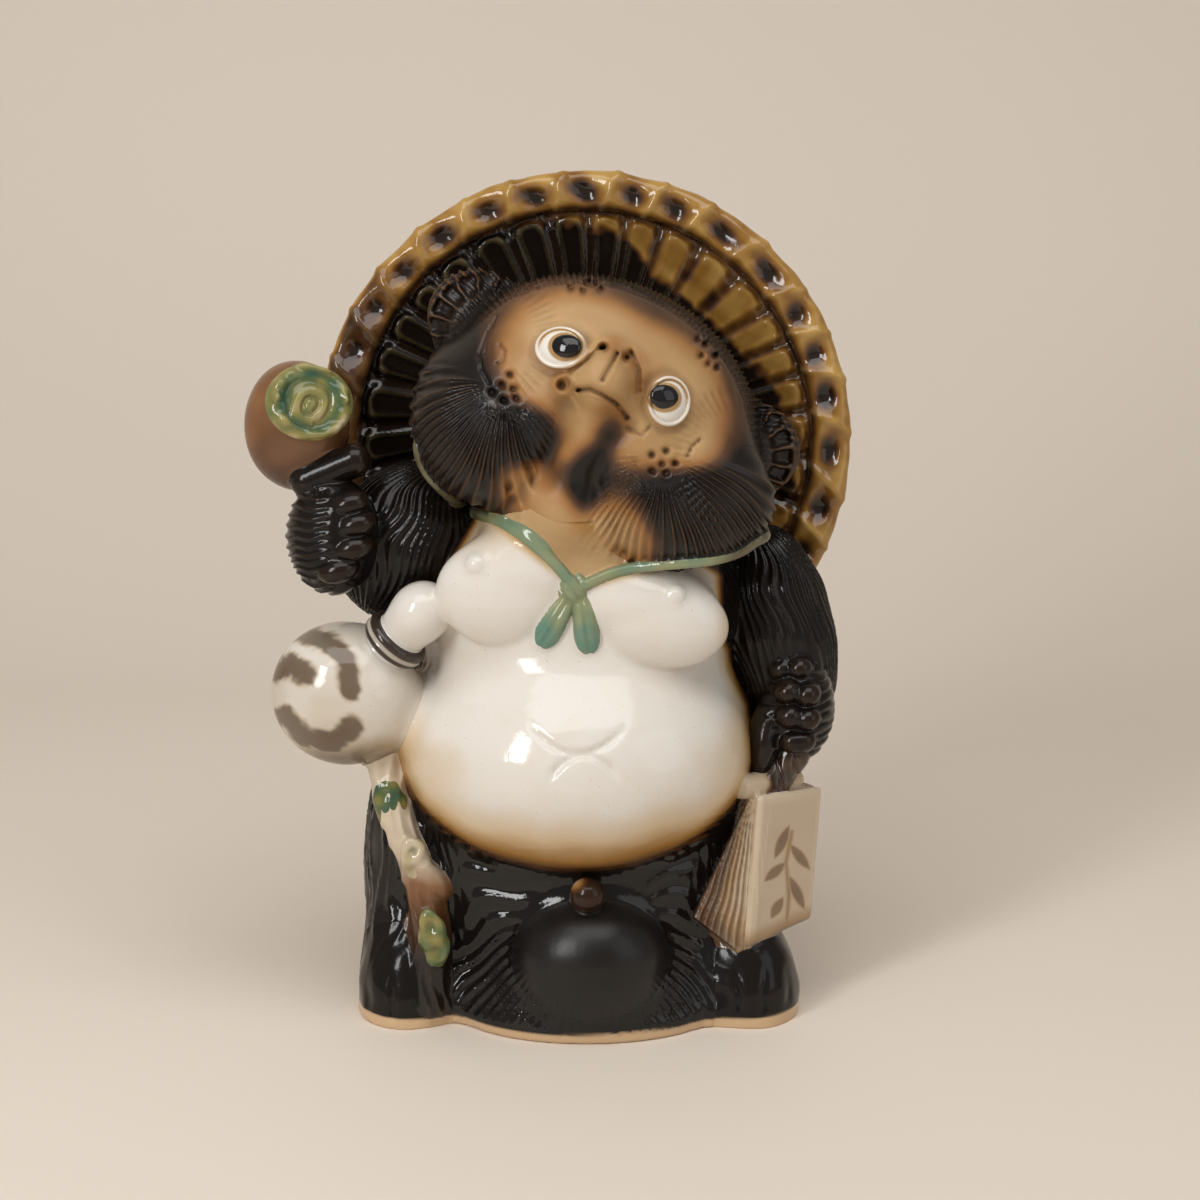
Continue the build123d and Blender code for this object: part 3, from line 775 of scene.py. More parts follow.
STAFF_GRIP = (raised_paw.at(*STAFF_SEAT, -4.0), staff_knob.centre)
GRIP_FILLET = 4.0
KNOB_SHADE_ROWS = (415.0, 485.0)
uneven_knob = uneven(staff_knob, depth=0.35, length=16.0, seed=55)
staff_knob_gap = melted(uneven_knob, (rod(STAFF_GRIP, STAFF_RADIUS), GRIP_FILLET))


def staff_knob_tone(points):
    low = ease(shown(points)[:, 1], *KNOB_SHADE_ROWS)
    return 0.38 + 0.3 * low + 0.12 * wobble(points, length=12.0, seed=56)


STAFF_PIXELS = ((377, 735), (386, 780), (402, 832), (420, 880), (432, 930), (431, 1004))
STAFF_DEPTHS = np.linspace(staff_top[1], staff_foot[1], len(STAFF_PIXELS))
staff_line = smooth_route(sighted(zip(STAFF_PIXELS, STAFF_DEPTHS)))
SPUR_SPOT = ((434, 880), -37.0)
staff_spur = Mass(sight(*SPUR_SPOT), (3.4, 3.2, 6.5), turned(roll=-38))
SPUR_FILLET = 3.0
VEIN_SPACING = 3.4


def shaft_gap(points):
    bulge = 0.9 * wobble(points, length=26.0, seed=57)
    veins = 0.6 * furrows(points[:, 0] / VEIN_SPACING + 0.6 * wobble(points, length=18.0, seed=59))
    return line_gap(points, staff_line) - STAFF_RADIUS + bulge + veins


staff_gap = melted(shaft_gap, (staff_spur.gap, SPUR_FILLET))

# Knots: a spot, the half width and half height, and a tone
STAFF_KNOTS = {
    "upper": (((390, 804), -31.0), (4.6, 7.6), 0.58),
    "middle": (((415, 858), -37.0), (4.4, 6.6), 0.08),
    "lower": (((434, 938), -42.0), (4.2, 9.2), 0.5),
}
KNOT_RISE = 2.8
KNOT_AXES = turned(roll=-12)


def staff_knot_gap(points, knot):
    inner = knot.local(points) / knot.radii
    dents = bell(inner[:, 0], 0.4) * groove(inner[:, 2] * 1.1 + 0.5, width=0.22)
    return knot.gap(points) + 1.2 * dents + 0.5 * wobble(points, length=6.0, seed=61)


def staff_knot_tone(points, tone):
    return tone + 0.25 * wobble(points, length=7.0, seed=62)


# Flask: round body, corded neck and lip
flask_gap = uneven(flask, depth=0.25, length=30.0, seed=63)
flask_neck_line = [flask.at(*FLASK_NECK_SEAT, lift) for lift in (-3.0, FLASK_NECK_LENGTH)]
FLASK_CORD_RADIUS = 1.9
FLASK_CORD_RING = 8.4
FLASK_CORD_ROOM = 10.5
flask_cord = seated(flask, FLASK_NECK_SEAT, (FLASK_CORD_ROOM,) * 3, lift=2.5)
FLASK_LIP_FILLET = 3.0
flask_neck_gap = melted(flask_lip.gap, (rod(flask_neck_line, FLASK_NECK_RADIUS), FLASK_LIP_FILLET))


def flask_cord_gap(points):
    inner = flask_cord.local(points)
    ring = np.hypot(inner[:, 0], inner[:, 2]) - FLASK_CORD_RING
    return np.hypot(ring, inner[:, 1] / 1.5) - FLASK_CORD_RADIUS + 0.5 * bell(inner[:, 1], 0.8)


def flask_cord_tone(points):
    return 0.25 + 0.75 * ease(np.abs(flask_cord.local(points)[:, 1]), 0.5, 1.1)


# Book: fanned pages, a cover, and the strap and roll that it hangs by
BOOK_FOOT_SLOPE = 0.2
BOOK_ROUNDING = 1.8
BOOK_LEAVES = 9.0
PAGE_FAN_OUTLINE = ((756, 784), (767, 806), (750, 946), (738, 951), (694, 917))
PAGE_FAN_SPOTS = (((756, 775), -33.0), ((748, 945), -38.0), ((695, 916), -43.0))
PAGE_FAN_DEPTHS = (-45.0, -24.0)
PAGE_FAN_THICKNESS = 11.0
PAGE_FAN_TOP = (758, 752)
PAGE_FAN_LEAVES = 150
PIXEL = 0.29


def block_gap(low, high, rounding):
    """A rounded block from how far points are past each pair of faces."""
    beyond = np.maximum(low, high) + rounding
    outside = np.sqrt((np.maximum(beyond, 0.0) ** 2).sum(1))
    return outside + np.minimum(beyond.max(1), 0.0) - rounding


def book_block(points, front, back):
    inner = book.local(points)
    foot = BOOK_FOOT_SLOPE * inner[:, 0] - BOOK_HEIGHT / 2
    low = np.column_stack((-inner[:, 0], front - inner[:, 1], foot - inner[:, 2]))
    high = np.column_stack((inner[:, 0] - BOOK_WIDTH, inner[:, 1] - back, inner[:, 2] - BOOK_HEIGHT / 2))
    return block_gap(low, high, BOOK_ROUNDING)


def page_fan_gap(points):
    """The leaves that spread out in front of the body, beside the cover."""
    at = shown(points)
    outline = np.full(len(points), -9.0 * FAR)
    for edge in zip(PAGE_FAN_OUTLINE, PAGE_FAN_OUTLINE[1:] + PAGE_FAN_OUTLINE[:1]):
        outline = np.maximum(outline, past(at, edge) * PIXEL)
    top, near, far = sighted(PAGE_FAN_SPOTS)
    outward = unit(np.cross(far - top, near - top)).astype(np.float32)
    ahead = (points - top.astype(np.float32)) @ outward
    angle = np.arctan2(*offset(at, PAGE_FAN_TOP))
    leaves = furrows(angle * PAGE_FAN_LEAVES / TURN + 0.2 * wobble(points, length=15.0, seed=64))
    return np.maximum(np.maximum(outline, ahead + 1.1 * leaves), -ahead - PAGE_FAN_THICKNESS)


def pages_gap(points):
    inner = book.local(points)
    share = np.clip(inner[:, 2] / BOOK_HEIGHT + 0.5, 0.0, 1.0)
    spread = BOOK_SPREAD_BELOW + (BOOK_SPREAD_ABOVE - BOOK_SPREAD_BELOW) * share
    loose = 0.12 * wobble(points, length=20.0, seed=65)
    leaves = groove(inner[:, 1] / spread * BOOK_LEAVES + loose, width=0.2)
    return np.minimum(book_block(points, 0.0, spread) * 0.9 + 0.7 * leaves, page_fan_gap(points))


def cover_gap(points):
    return book_block(points, -BOOK_COVER, 0.0)


def in_book(across, depth, rise):
    return book_place + BOOK_AXES @ (across, depth, rise)


HANGER_RADIUS = 5.0
hanger_line = (
    lowered_paw.at(0, -60, -3.0),
    in_book(BOOK_WIDTH / 3, BOOK_SPREAD_ABOVE / 2, BOOK_HEIGHT / 2),
)
ROLL_RADIUS = 3.7
ROLL_RISE = 1.6
ROLL_REACH = (-1.0, BOOK_WIDTH * 0.72)
roll_line = [in_book(across, BOOK_SPREAD_ABOVE / 2, BOOK_HEIGHT / 2 + ROLL_RISE) for across in ROLL_REACH]


ROLL_FILLET = 0.8
FOLD_SPACING = 5.0
strap_gap = rod(hanger_line, HANGER_RADIUS)
roll_gap = rod(roll_line, ROLL_RADIUS)


def folded_strap_gap(points):
    fold = 0.6 * groove((points[:, 0] + 0.15 * points[:, 2]) / FOLD_SPACING, width=0.16)
    return strap_gap(points) + fold


hanger_gap = melted(folded_strap_gap, (roll_gap, ROLL_FILLET))

# Feet, pouch and tail
TOES = 4
TOE_DEPTH = 0.7
FOOT_SPREAD = 4.0
FOOT_RISE = 25.0


def foot_form(foot):
    return Mass((*foot.centre[:2], FOOT_SPREAD), (*foot.radii[:2], FOOT_RISE))


def foot_gap(points, foot):
    """A foot that flows out of the haunch and stands on straight sides."""
    raised = points.copy()
    raised[:, 2] = np.maximum(points[:, 2], FOOT_SPREAD)
    inner = foot.local(points)
    loose = 0.12 * wobble(points, length=10.0, seed=67)
    toes = groove(inner[:, 0] / (2 * foot.radii[0]) * TOES + 0.5 + loose, width=0.14)
    low = (1.0 - ease(inner[:, 2], -3.0, 6.0)) * ease(inner[:, 2], -11.0, -6.0)
    toes = toes * ease(-inner[:, 1], 8.0, 14.0) * low
    return foot_form(foot).gap(raised) + TOE_DEPTH * toes + 0.35 * wobble(points, length=12.0, seed=69)


pouch_gap = uneven(pouch, depth=0.2, length=18.0, seed=71)
tail_gap = furry(tail, count=34, sway=0.04, depth=1.0, seed=73)

# Hat: thumb marks along the rim, and wide flutes inside the brim with narrow sunk strips between them
RIM_ROUNDING = 4.0
DIMPLE_DEPTH = 2.6
PINCH_HEIGHT = 0.7
FLUTE_EDGE = 0.24
BRIM_LAP = 0.8
RING_SPACING = 9.0


def hat_polar(points):
    """Distance from the hat's middle, angle round it, and height towards the front."""
    inner = hat.local(points)
    angle = np.arctan2(inner[:, 0], inner[:, 1]) + 0.05 * wobble(points, length=60.0, seed=74)
    return np.hypot(inner[:, 0], inner[:, 1]), angle, inner[:, 2]


def dimple_shape(distance, angle, length, width):
    """The thumb marks along the rim, 1 in the middle of each."""
    turns = angle * HAT_DIMPLES / TURN
    along = (turns - np.round(turns)) * TURN / HAT_DIMPLES * HAT_RIM_MIDDLE
    across = distance - HAT_RIM_MIDDLE + 0.6 + 0.12 * along
    return np.exp(-(along / length) ** 2 - (across / width) ** 2)


def hat_rim_gap(points):
    distance, angle, height = hat_polar(points)
    half = HAT_RIM_WIDTH / 2
    low = np.column_stack((HAT_RIM_MIDDLE - half - distance, -HAT_RIM_THICKNESS / 2 - height))
    high = np.column_stack((distance - HAT_RIM_MIDDLE - half, height - HAT_RIM_THICKNESS / 2))
    field = block_gap(low, high, RIM_ROUNDING)
    face = ease(height, 0.0, 3.0)
    dimple = dimple_shape(distance, angle, length=4.4, width=3.9)
    pinch = groove(angle * HAT_DIMPLES / TURN + 0.5 - 0.03 * (distance - HAT_RIM_MIDDLE), width=0.1)
    pressed = face * (DIMPLE_DEPTH * dimple - PINCH_HEIGHT * pinch)
    return field + pressed + 0.5 * wobble(points, length=14.0, seed=75)


def dish_share(distance):
    return np.clip(distance / BRIM_RADIUS, 0.02, 1.2)


def dish_height(distance):
    """The height of the brim's plain inside at a distance from its middle."""
    return HAT_DISH_DEPTH * (dish_share(distance) ** HAT_DISH_CURVE - 1.0)


def hat_brim_gap(points):
    distance, angle, height = hat_polar(points)
    turns = angle * HAT_FLUTES / TURN
    share = dish_share(distance)
    front = dish_height(distance)
    slope = HAT_DISH_DEPTH * HAT_DISH_CURVE / BRIM_RADIUS * share ** (HAT_DISH_CURVE - 1.0)
    level = 1.0 / np.sqrt(1.0 + slope ** 2)
    outer = ease(share, 0.3, 0.6)
    edge = groove(turns + FLUTE_EDGE, width=0.07) + groove(turns - FLUTE_EDGE, width=0.07)
    scallop = ease(distance, BRIM_RADIUS - 4.0 - 1.6 * np.cos(TURN * turns), BRIM_RADIUS - 0.5)
    above = (height - front) * level + outer * (groove(turns, width=0.15) - 0.4 * edge)
    above = above + 2.0 * scallop + 0.3 * wobble(points, length=16.0, seed=77)
    rings = 0.5 * groove(distance / RING_SPACING, width=0.16)
    rings = rings + 0.5 * groove(turns * 2.0, width=0.16) * outer
    below = (front - HAT_BRIM_THICKNESS - height) * level + rings
    return np.maximum(np.maximum(above, below), distance - BRIM_RADIUS - BRIM_LAP)


# Cord under the chin, laid on the clay along pixels of the photograph and from there round the head
CHEEK_FILLET = 13.0
MUZZLE_FILLET = 6.0
RIGHT_CORD_PIXELS = (
    (416, 438), (421, 468), (440, 493), (467, 510), (492, 519), (516, 530), (540, 549), (560, 568),
    (572, 584))
LEFT_CORD_PIXELS = (
    (756, 541), (740, 553), (716, 560), (688, 563), (660, 565), (630, 568), (604, 575), (580, 588))
RIGHT_CORD_SEATS = ((-150, 0), (-135, -8), (-118, -14))
LEFT_CORD_SEATS = ((150, -24), (115, -32), (80, -36))
CORD_LIFT = 0.9
LAYING_DEPTHS = np.arange(-75.0, 5.0, 0.25)
WRAPPING_REACHES = np.arange(0.0, 60.0, 0.25)


head_skin = melted(
    head_gap,
    (right_cheek.gap, CHEEK_FILLET),
    (left_cheek.gap, CHEEK_FILLET),
    (muzzle_gap, MUZZLE_FILLET),
)


def laid(pixels):
    """The points where lines of sight first meet the head or body, lifted a little towards the camera.

    A line of sight that just misses gives the point of the head or body that it passes nearest to.
    """
    route = []
    for pixel in pixels:
        points = np.array([sight(pixel, depth) for depth in LAYING_DEPTHS], np.float32)
        gaps = np.minimum(body_gap(points), head_skin(points))
        met = np.argmax(gaps < 0.0) if gaps.min() < 0.0 else np.argmin(gaps)
        inward = unit(head.centre - points[met]) * max(gaps[met], 0.0)
        route.append(points[met] + inward - sight_ray(pixel) * CORD_LIFT)
    return route


def wrapped(mass, seats):
    """Points a little above the head's skin where lines from the middle of a mass come out of it."""
    route = []
    for seat in seats:
        ray = unit(mass.at(*seat) - mass.centre)
        points = (mass.centre + WRAPPING_REACHES[:, None] * ray).astype(np.float32)
        route.append(points[np.argmax(head_skin(points) > 0.0)] + ray * CORD_LIFT)
    return route


right_cord_line = smooth_route(wrapped(head, RIGHT_CORD_SEATS) + laid(RIGHT_CORD_PIXELS))
left_cord_line = smooth_route(wrapped(left_cheek, LEFT_CORD_SEATS) + laid(LEFT_CORD_PIXELS))
LOOP_SPACING = 3.6
TAIL_FLARE = 0.35


def knot_gap(points):
    inner = cord_knot.local(points)
    loops = groove((inner[:, 0] + 0.7 * inner[:, 2]) / LOOP_SPACING, width=0.18)
    return cord_knot.gap(points) + 0.6 * loops


def cord_tail_gap(points, cord_tail):
    inner = cord_tail.local(points)
    fold = 0.45 * bell(inner[:, 0], 0.7)
    inner[:, 0] /= 1.0 + TAIL_FLARE * ease(-inner[:, 2], -2.0, 9.0)
    return cord_tail.gap(cord_tail.centre + inner @ cord_tail.axes.T) + fold


# Tones of the glaze: 0 is a piece's palest colour and 1 its darkest.
# Distances in millimetres are paired with the tones that they have.
BELLY_TONES = ((0.0, 1.2, 4.0, 9.5, 20.0), (1.0, 0.75, 0.48, 0.22, 0.0))
UNDER_ARM_TONES = ((0.0, 1.5, 3.5, 6.5, 11.0), (1.0, 0.75, 0.45, 0.2, 0.0))
BACKWARD_TONES = ((-14.0, -7.0, -1.0), (0.0, 0.55, 1.0))
FLASK_EDGE_TONES = ((0.0, 2.0, 5.0, 8.0), (1.0, 0.8, 0.3, 0.0))
FLASK_NECK_TONES = ((0.0, 1.5, 4.0, 8.0), (1.0, 0.7, 0.35, 0.0))
# The line down the valley beside the throat, in pixels, along which shade is painted
THROAT_SHADOW = ((606, 440), (593, 466), (585, 490), (583, 515), (588, 536))
THROAT_SHADOW_WIDTH = 16.0
THROAT_SHADOW_ROWS = (480.0, 548.0)
RIGHT_CORD_EDGE = ((467, 510), (572, 584))
LEFT_CORD_EDGE = ((716, 560), (580, 588))
BELLY_EDGE = 61.0
CHEST_INSET = 9.0
CHEST_HEIGHTS = (92.0, 122.0)
SHOULDER_INSET = 8.0
SHOULDER_HEIGHTS = (134.0, 142.0)
BELLY_SHADE_TOP = 78.0
CREAM_HEIGHTS = (84.0, 112.0)
CREAM_GAIN = 26.0
THROAT_TONE = 0.39


def painted_throat_shade(at):
    """Painted shade in the valley beside the throat, fading out lower down."""
    away = line_gap(at, THROAT_SHADOW)
    return 0.7 * bell(away, THROAT_SHADOW_WIDTH) * (1.0 - ease(at[:, 1], *THROAT_SHADOW_ROWS))


def body_tone(points):
    across, depth, height = points.T
    at = shown(points)
    low = np.minimum(lower_body.gap(points), skirt.gap(points))
    upper = np.minimum(belly.gap(points), chest.gap(points))
    reach = 1.0 + 1.3 * ease(BELLY_SHADE_TOP - height, 0.0, 22.0)
    combing, lines = belly_fringe(points)
    stand_off = (low - belly.gap(points)) / reach * (1.0 + 0.16 * wobble(points, length=24.0, seed=23))
    front = ease(low - upper, -8.0, 0.0)
    stand_off += CREAM_GAIN * front * ease(height, *CREAM_HEIGHTS) + 2.6 * combing * (lines - 0.6)
    arms = np.minimum(lowered_arm.gap(points), raised_arm.gap(points))
    edge = BELLY_EDGE - CHEST_INSET * ease(height, *CHEST_HEIGHTS)
    edge = edge - SHOULDER_INSET * ease(height, *SHOULDER_HEIGHTS)
    away = 0.2 + 0.8 * ease(depth, -36.0, -26.0)
    over = np.minimum(past(at, RIGHT_CORD_EDGE), -past(at, LEFT_CORD_EDGE))
    tone = np.max([
        np.interp(stand_off, *BELLY_TONES),
        np.interp(arms, *UNDER_ARM_TONES),
        np.interp(depth, *BACKWARD_TONES),
        away * ease(across, edge - 5.0, edge + 1.0),
        THROAT_TONE * ease(upper - neck.gap(points), -9.0, 0.0) * ease(over, -8.0, 6.0),
    ], axis=0)
    # Painted shade in the valley beside the throat is added on top
    return tone + 0.6 * painted_throat_shade(at)


# The face: a pale leaning oval, with darker and paler patches as a pixel, a reach in pixels and a change.
# Most patches are the glaze's own colour. Some darker ones are painted shade: round the eyes at (528, 350),
# (640, 330) and (652, 372), at the mouth corner (563, 384), on the nose (613, 346), down the right of the
# snout at (632, 358) and (641, 386), below the eye beside the muzzle (556, 372), under the lip (608, 410)
# and by the jaw (616, 428).
# The darker one at (536, 430), beside the right throat groove, is partly dark fur glaze and partly painted
# shade.
# The paler one on the throat ridge at (562, 455) is a painted highlight.
FACE_MIDDLE = (614, 381)
FACE_REACH = (136.0, 87.0)
HEAD_REACH = (192.0, 125.0)
FACE_PATCHES = (
    ((536, 430), 25.0, 0.75),
    ((556, 516), 36.0, -0.95),
    ((590, 540), 24.0, -0.6),
    ((528, 350), 13.0, 0.2),
    ((652, 372), 24.0, 0.16),
    ((563, 384), 12.0, 0.25),
    ((470, 440), 60.0, 0.5),
    ((690, 515), 52.0, 0.5),
    ((514, 484), 28.0, -0.75),
    ((536, 468), 14.0, -0.4),
    ((620, 522), 32.0, -0.8),
    ((640, 550), 26.0, -0.6),
    ((700, 452), 26.0, -0.35),
    ((616, 428), 17.0, 0.4),
    ((562, 455), 15.0, -0.5),
    ((613, 346), 11.0, 0.3),
    ((632, 358), 11.0, 0.3),
    ((641, 386), 14.0, 0.28),
    ((608, 410), 15.0, 0.3),
    ((556, 372), 14.0, 0.2),
    ((640, 330), 34.0, 0.14),
)


def leaned(at, middle, lean):
    """Offsets from a pixel, along and square to a line that leans down to the right by degrees."""
    across, down = offset(at, middle)
    turn = np.radians(lean)
    return across * np.cos(turn) + down * np.sin(turn), down * np.cos(turn) - across * np.sin(turn)


def oval(at, middle, reach):
    """How far pixels are from the middle of an oval that leans as the head does, 1 on its edge."""
    along, off = leaned(at, middle, HEAD_LEAN)
    return np.hypot(along / reach[0], off / reach[1])


def face_tone(points):
    at = shown(points)
    rim = oval(at, FACE_MIDDLE, FACE_REACH) + 0.05 * wobble(points, length=30.0, seed=81)
    # Painted shade in the valley beside the throat darkens the oval there
    tone = ease(rim, 0.66, 1.16) + painted_throat_shade(at)
    # The patches add the glaze's own colour, painted shade and a painted highlight, as listed above the
    # table
    for (x, y), reach, change in FACE_PATCHES:
        tone = tone + change * np.exp(-((at[:, 0] - x) ** 2 + (at[:, 1] - y) ** 2) / reach ** 2)
    behind = ease(points[:, 1] - head.centre[1], -8.0, 4.0)
    return np.maximum(np.clip(tone, 0.04, 1.0), behind)


HAT_SHADE_PIXEL = (440.0, 330.0)
HAT_SHADE_SLOPE = 0.4
HAT_SHADE_WIDTH = 70.0


def hat_tone(points):
    distance, angle, height = hat_polar(points)
    at = shown(points)
    front = ease(height - dish_height(distance), -5.0, -2.0)
    inside = 1.0 - ease(distance, BRIM_RADIUS - 1.5, BRIM_RADIUS + 0.5)
    cloud = 0.2 * wobble(points, length=13.0, seed=87) + 0.1 * wobble(points, length=5.0, seed=88)
    # Darker close round the head on the front: partly dark glaze pooled against the head and partly painted
    # shade
    across, down = offset(at, HEAD_MIDDLE)
    upper_left = ease(np.cos(np.arctan2(across, -down) + 0.5), 0.5, 0.95)
    beside = oval(at, HEAD_MIDDLE, HEAD_REACH) - 0.3 * upper_left
    near_head = 1.0 - ease(beside + 0.5 * cloud, 0.98, 1.12)
    across, down = offset(at, HAT_SHADE_PIXEL)
    shade = ease(HAT_SHADE_SLOPE * down - across, 0.0, HAT_SHADE_WIDTH) * (0.55 + 0.45 * inside)
    strip = groove(angle * HAT_FLUTES / TURN, width=0.2) * inside * (0.35 + 2.4 * np.abs(cloud))
    marks = np.max([
        near_head * inside * front,
        shade * front,
        strip * front,
        dimple_shape(distance, angle, length=4.0, width=3.2) * ease(height, 0.0, 3.0),
        0.6 * bell(distance - BRIM_RADIUS, 1.6),
        (0.32 + 0.3 * wobble(points, length=40.0, seed=89)) * (1.0 - front) * inside,
    ], axis=0)
    return marks + cloud + 0.12


FLASK_STROKES = (
    ((300, 634), (326, 640), (346, 660), (350, 690)),
    ((276, 672), (292, 664), (308, 676)),
    ((284, 716), (304, 738), (334, 744), (352, 726)),
)
FLASK_FOOT_ROWS = (724.0, 760.0)


def flask_tone(points):
    at = shown(points)
    dry = 3.0 * wobble(points, length=7.0, seed=83) + 2.0 * wobble(points, length=3.0, seed=84)
    away = np.min([line_gap(at, stroke) for stroke in FLASK_STROKES], axis=0) + dry
    stroke = (1.0 - ease(away, 6.0, 15.0)) * ease(4.0 - flask.local(points)[:, 1], 0.0, 6.0)
    tint = 0.1 + 0.1 * wobble(points, length=26.0, seed=82)
    foot = ease(at[:, 1], *FLASK_FOOT_ROWS)
    edge = np.interp(raised_paw.gap(points), *FLASK_EDGE_TONES)
    return np.max([tint + 0.5 * stroke, 0.5 * foot, edge], axis=0)


def flask_neck_tone(points):
    arms = np.minimum(raised_arm.gap(points), raised_paw.gap(points))
    return np.interp(arms, *FLASK_NECK_TONES)


def cord_tone(points):
    away = points[:, 0] - cord_knot.centre[0]
    dark = np.maximum(ease(-away, 18.0, 36.0), ease(away, 34.0, 50.0))
    return 0.22 + 0.1 * wobble(points, length=12.0, seed=85) + 0.4 * dark


def cord_tail_tone(points, cord_tail):
    high = ease(cord_tail.local(points)[:, 2], -6.0, 7.0)
    return 0.3 * high + 0.12 * wobble(points, length=5.0, seed=86)


KNOB_HIGHLIGHT = (573, 879)


def knob_tone(points):
    away = np.hypot(*offset(shown(points), KNOB_HIGHLIGHT))
    return 0.2 + 0.6 * ease(away, 4.0, 17.0)


def staff_tone(points):
    share = (staff_top[2] - points[:, 2]) / (staff_top[2] - staff_foot[2])
    return ease(share, 0.3, 0.75)


PAGE_FOOT_ROWS = (895.0, 950.0)


def pages_tone(points):
    at = shown(points)
    far = ease(-np.arctan2(*offset(at, PAGE_FAN_TOP)), 0.1, 0.36)
    low = ease(at[:, 1], *PAGE_FOOT_ROWS)
    behind = ease(points[:, 1], -20.0, -6.0)
    return 0.06 + 0.7 * far + 0.42 * low + behind


def hanger_tone(points):
    strap = 1.0 - ease(strap_gap(points) - roll_gap(points), -0.8, 0.8)
    return 0.08 + 0.85 * strap + 0.06 * wobble(points, length=8.0, seed=90)


# Leaves brushed on the cover: a pixel, a lean in degrees and a length in pixels
COVER_LEAVES = (
    ((782, 842), 24.0, 19.0),
    ((800, 857), -38.0, 17.0),
    ((775, 872), 48.0, 15.0),
    ((797, 893), -24.0, 20.0),
    ((777, 908), 30.0, 13.0),
)
LEAF_WIDTH = 5.5
COVER_STEM = ((786, 930), (789, 895), (786, 862), (792, 832))
STEM_WIDTH = 2.2


def cover_tone(points):
    at = shown(points)
    inner = book.local(points)
    mark = 0.8 * bell(line_gap(at, COVER_STEM), STEM_WIDTH)
    for pixel, lean, length in COVER_LEAVES:
        off, along = leaned(at, pixel, lean)
        mark = np.maximum(mark, 1.0 - ease((along / length) ** 2 + np.abs(off / LEAF_WIDTH), 0.6, 1.2))
    front = ease(0.5 - inner[:, 1], 0.0, 1.5)
    foot = 0.62 * ease(BOOK_FOOT_SLOPE * inner[:, 0] - inner[:, 2], 16.0, 24.5)
    return np.maximum(0.52 * mark * front, foot)


def flat_tone(tone):
    return lambda points: np.full(len(points), tone)


def joint_box(*masses):
    lows, highs = zip(*[mass.box() for mass in masses])
    return np.min(lows, axis=0), np.max(highs, axis=0)


def line_box(line, room):
    return np.min(line, axis=0) - room, np.max(line, axis=0) + room


BOX_MARGIN = 3.0
BELOW_FLOOR = -2.0


class Piece:
    """A clay piece: its field, the box that holds it, its fillet to what came before, and its looks.

    The fillet and the voxel, which is the spacing of its mesh, are in millimetres.
    """

    def __init__(self, gap, box, fillet, voxel, slot, tone, family="body"):
        self.gap = gap
        self.low = np.asarray(box[0], float) - BOX_MARGIN
        self.high = np.asarray(box[1], float) + BOX_MARGIN
        self.low[2] = max(self.low[2], BELOW_FLOOR)
        self.fillet = fillet
        self.voxel = voxel
        self.slot = slot
        self.tone = tone
        self.family = family


def on(function, *values):
    """A field with its other arguments already given."""
    return lambda points: function(points, *values)


FUR = ("fur_glaze", flat_tone(1.0))
FACE = ("face_stain", face_tone, "head")
HAT = ("hat_glaze", hat_tone)
THUMB_ROOM = 5.2
FOOT_ROOM = 4.0
FLASK_NECK_ROOM = 8.0
BODY_BOX = joint_box(lower_body, skirt, belly, chest, right_breast, left_breast, right_haunch)
MUZZLE_BOX = joint_box(muzzle, upper_snout, lower_jaw, nose, ball(throat_line[-1], THROAT_RADIUS))
RAISED_PAW_BOX = joint_box(raised_paw, *raised_fingers, *[ball(end, THUMB_ROOM) for end in THUMB_ROUTE])
LOWERED_PAW_BOX = joint_box(lowered_paw, palm, *lowered_fingers)
FLASK_NECK_BOX = joint_box(flask_lip, ball(flask_neck_line[0], FLASK_NECK_ROOM))
FLASK_CORD_BOX = ball(flask_cord.centre, FLASK_CORD_ROOM).box()
BOOK_CORNERS = [
    in_book(across, depth, rise)
    for across in (0.0, BOOK_WIDTH)
    for depth in (-BOOK_COVER, BOOK_SPREAD_BELOW)
    for rise in (-BOOK_HEIGHT / 2, BOOK_HEIGHT / 2)
]
PAGE_CORNERS = [sight(pixel, depth) for pixel in PAGE_FAN_OUTLINE for depth in PAGE_FAN_DEPTHS]
BOOK_BOX = line_box(BOOK_CORNERS + PAGE_CORNERS, room=0.5)
HANGER_BOX = line_box([*hanger_line, *roll_line], room=6.0)
NIPPLE_RADIUS = 2.8
NIPPLE_ROOM = 3.0
NIPPLE_SINK = -0.9

# Each piece melts into those before it, so the order counts
pieces = {
    "body": Piece(body_gap, BODY_BOX, 1.0, 0.97, "body_glaze", body_tone),
    "head_shell": Piece(head_gap, joint_box(head, temple), 3.0, 0.65, *FACE),
    "hat_brim": Piece(hat_brim_gap, hat.box(), 2.0, 0.75, *HAT),
    "hat_rim": Piece(hat_rim_gap, hat.box(), 0.8, 0.65, *HAT),
}
for side, ear, shift in (("right", right_ear, RIGHT_EAR_RING), ("left", left_ear, LEFT_EAR_RING)):
    pieces[side + "_ear"] = Piece(
        on(ear_gap, ear, shift), ear.box(), 7.0, 0.4, "face_stain", flat_tone(0.95), "head")
for side, cheek in (("right", right_cheek), ("left", left_cheek)):
    pieces[side + "_cheek"] = Piece(cheek.gap, cheek.box(), CHEEK_FILLET, 0.45, *FACE)
pieces["muzzle"] = Piece(muzzle_gap, MUZZLE_BOX, MUZZLE_FILLET, 0.4, *FACE)
for side, eye, pupil in (("right", right_eye, right_pupil), ("left", left_eye, left_pupil)):
    pieces[side + "_eye_white"] = Piece(
        on(eye_gap, eye), eye.box(), 0.5, 0.32, "eye_white", on(eye_tone, eye, pupil))
    pieces[side + "_pupil"] = Piece(pupil.gap, pupil.box(), 0.3, 0.28, "pupil_black", flat_tone(1.0))
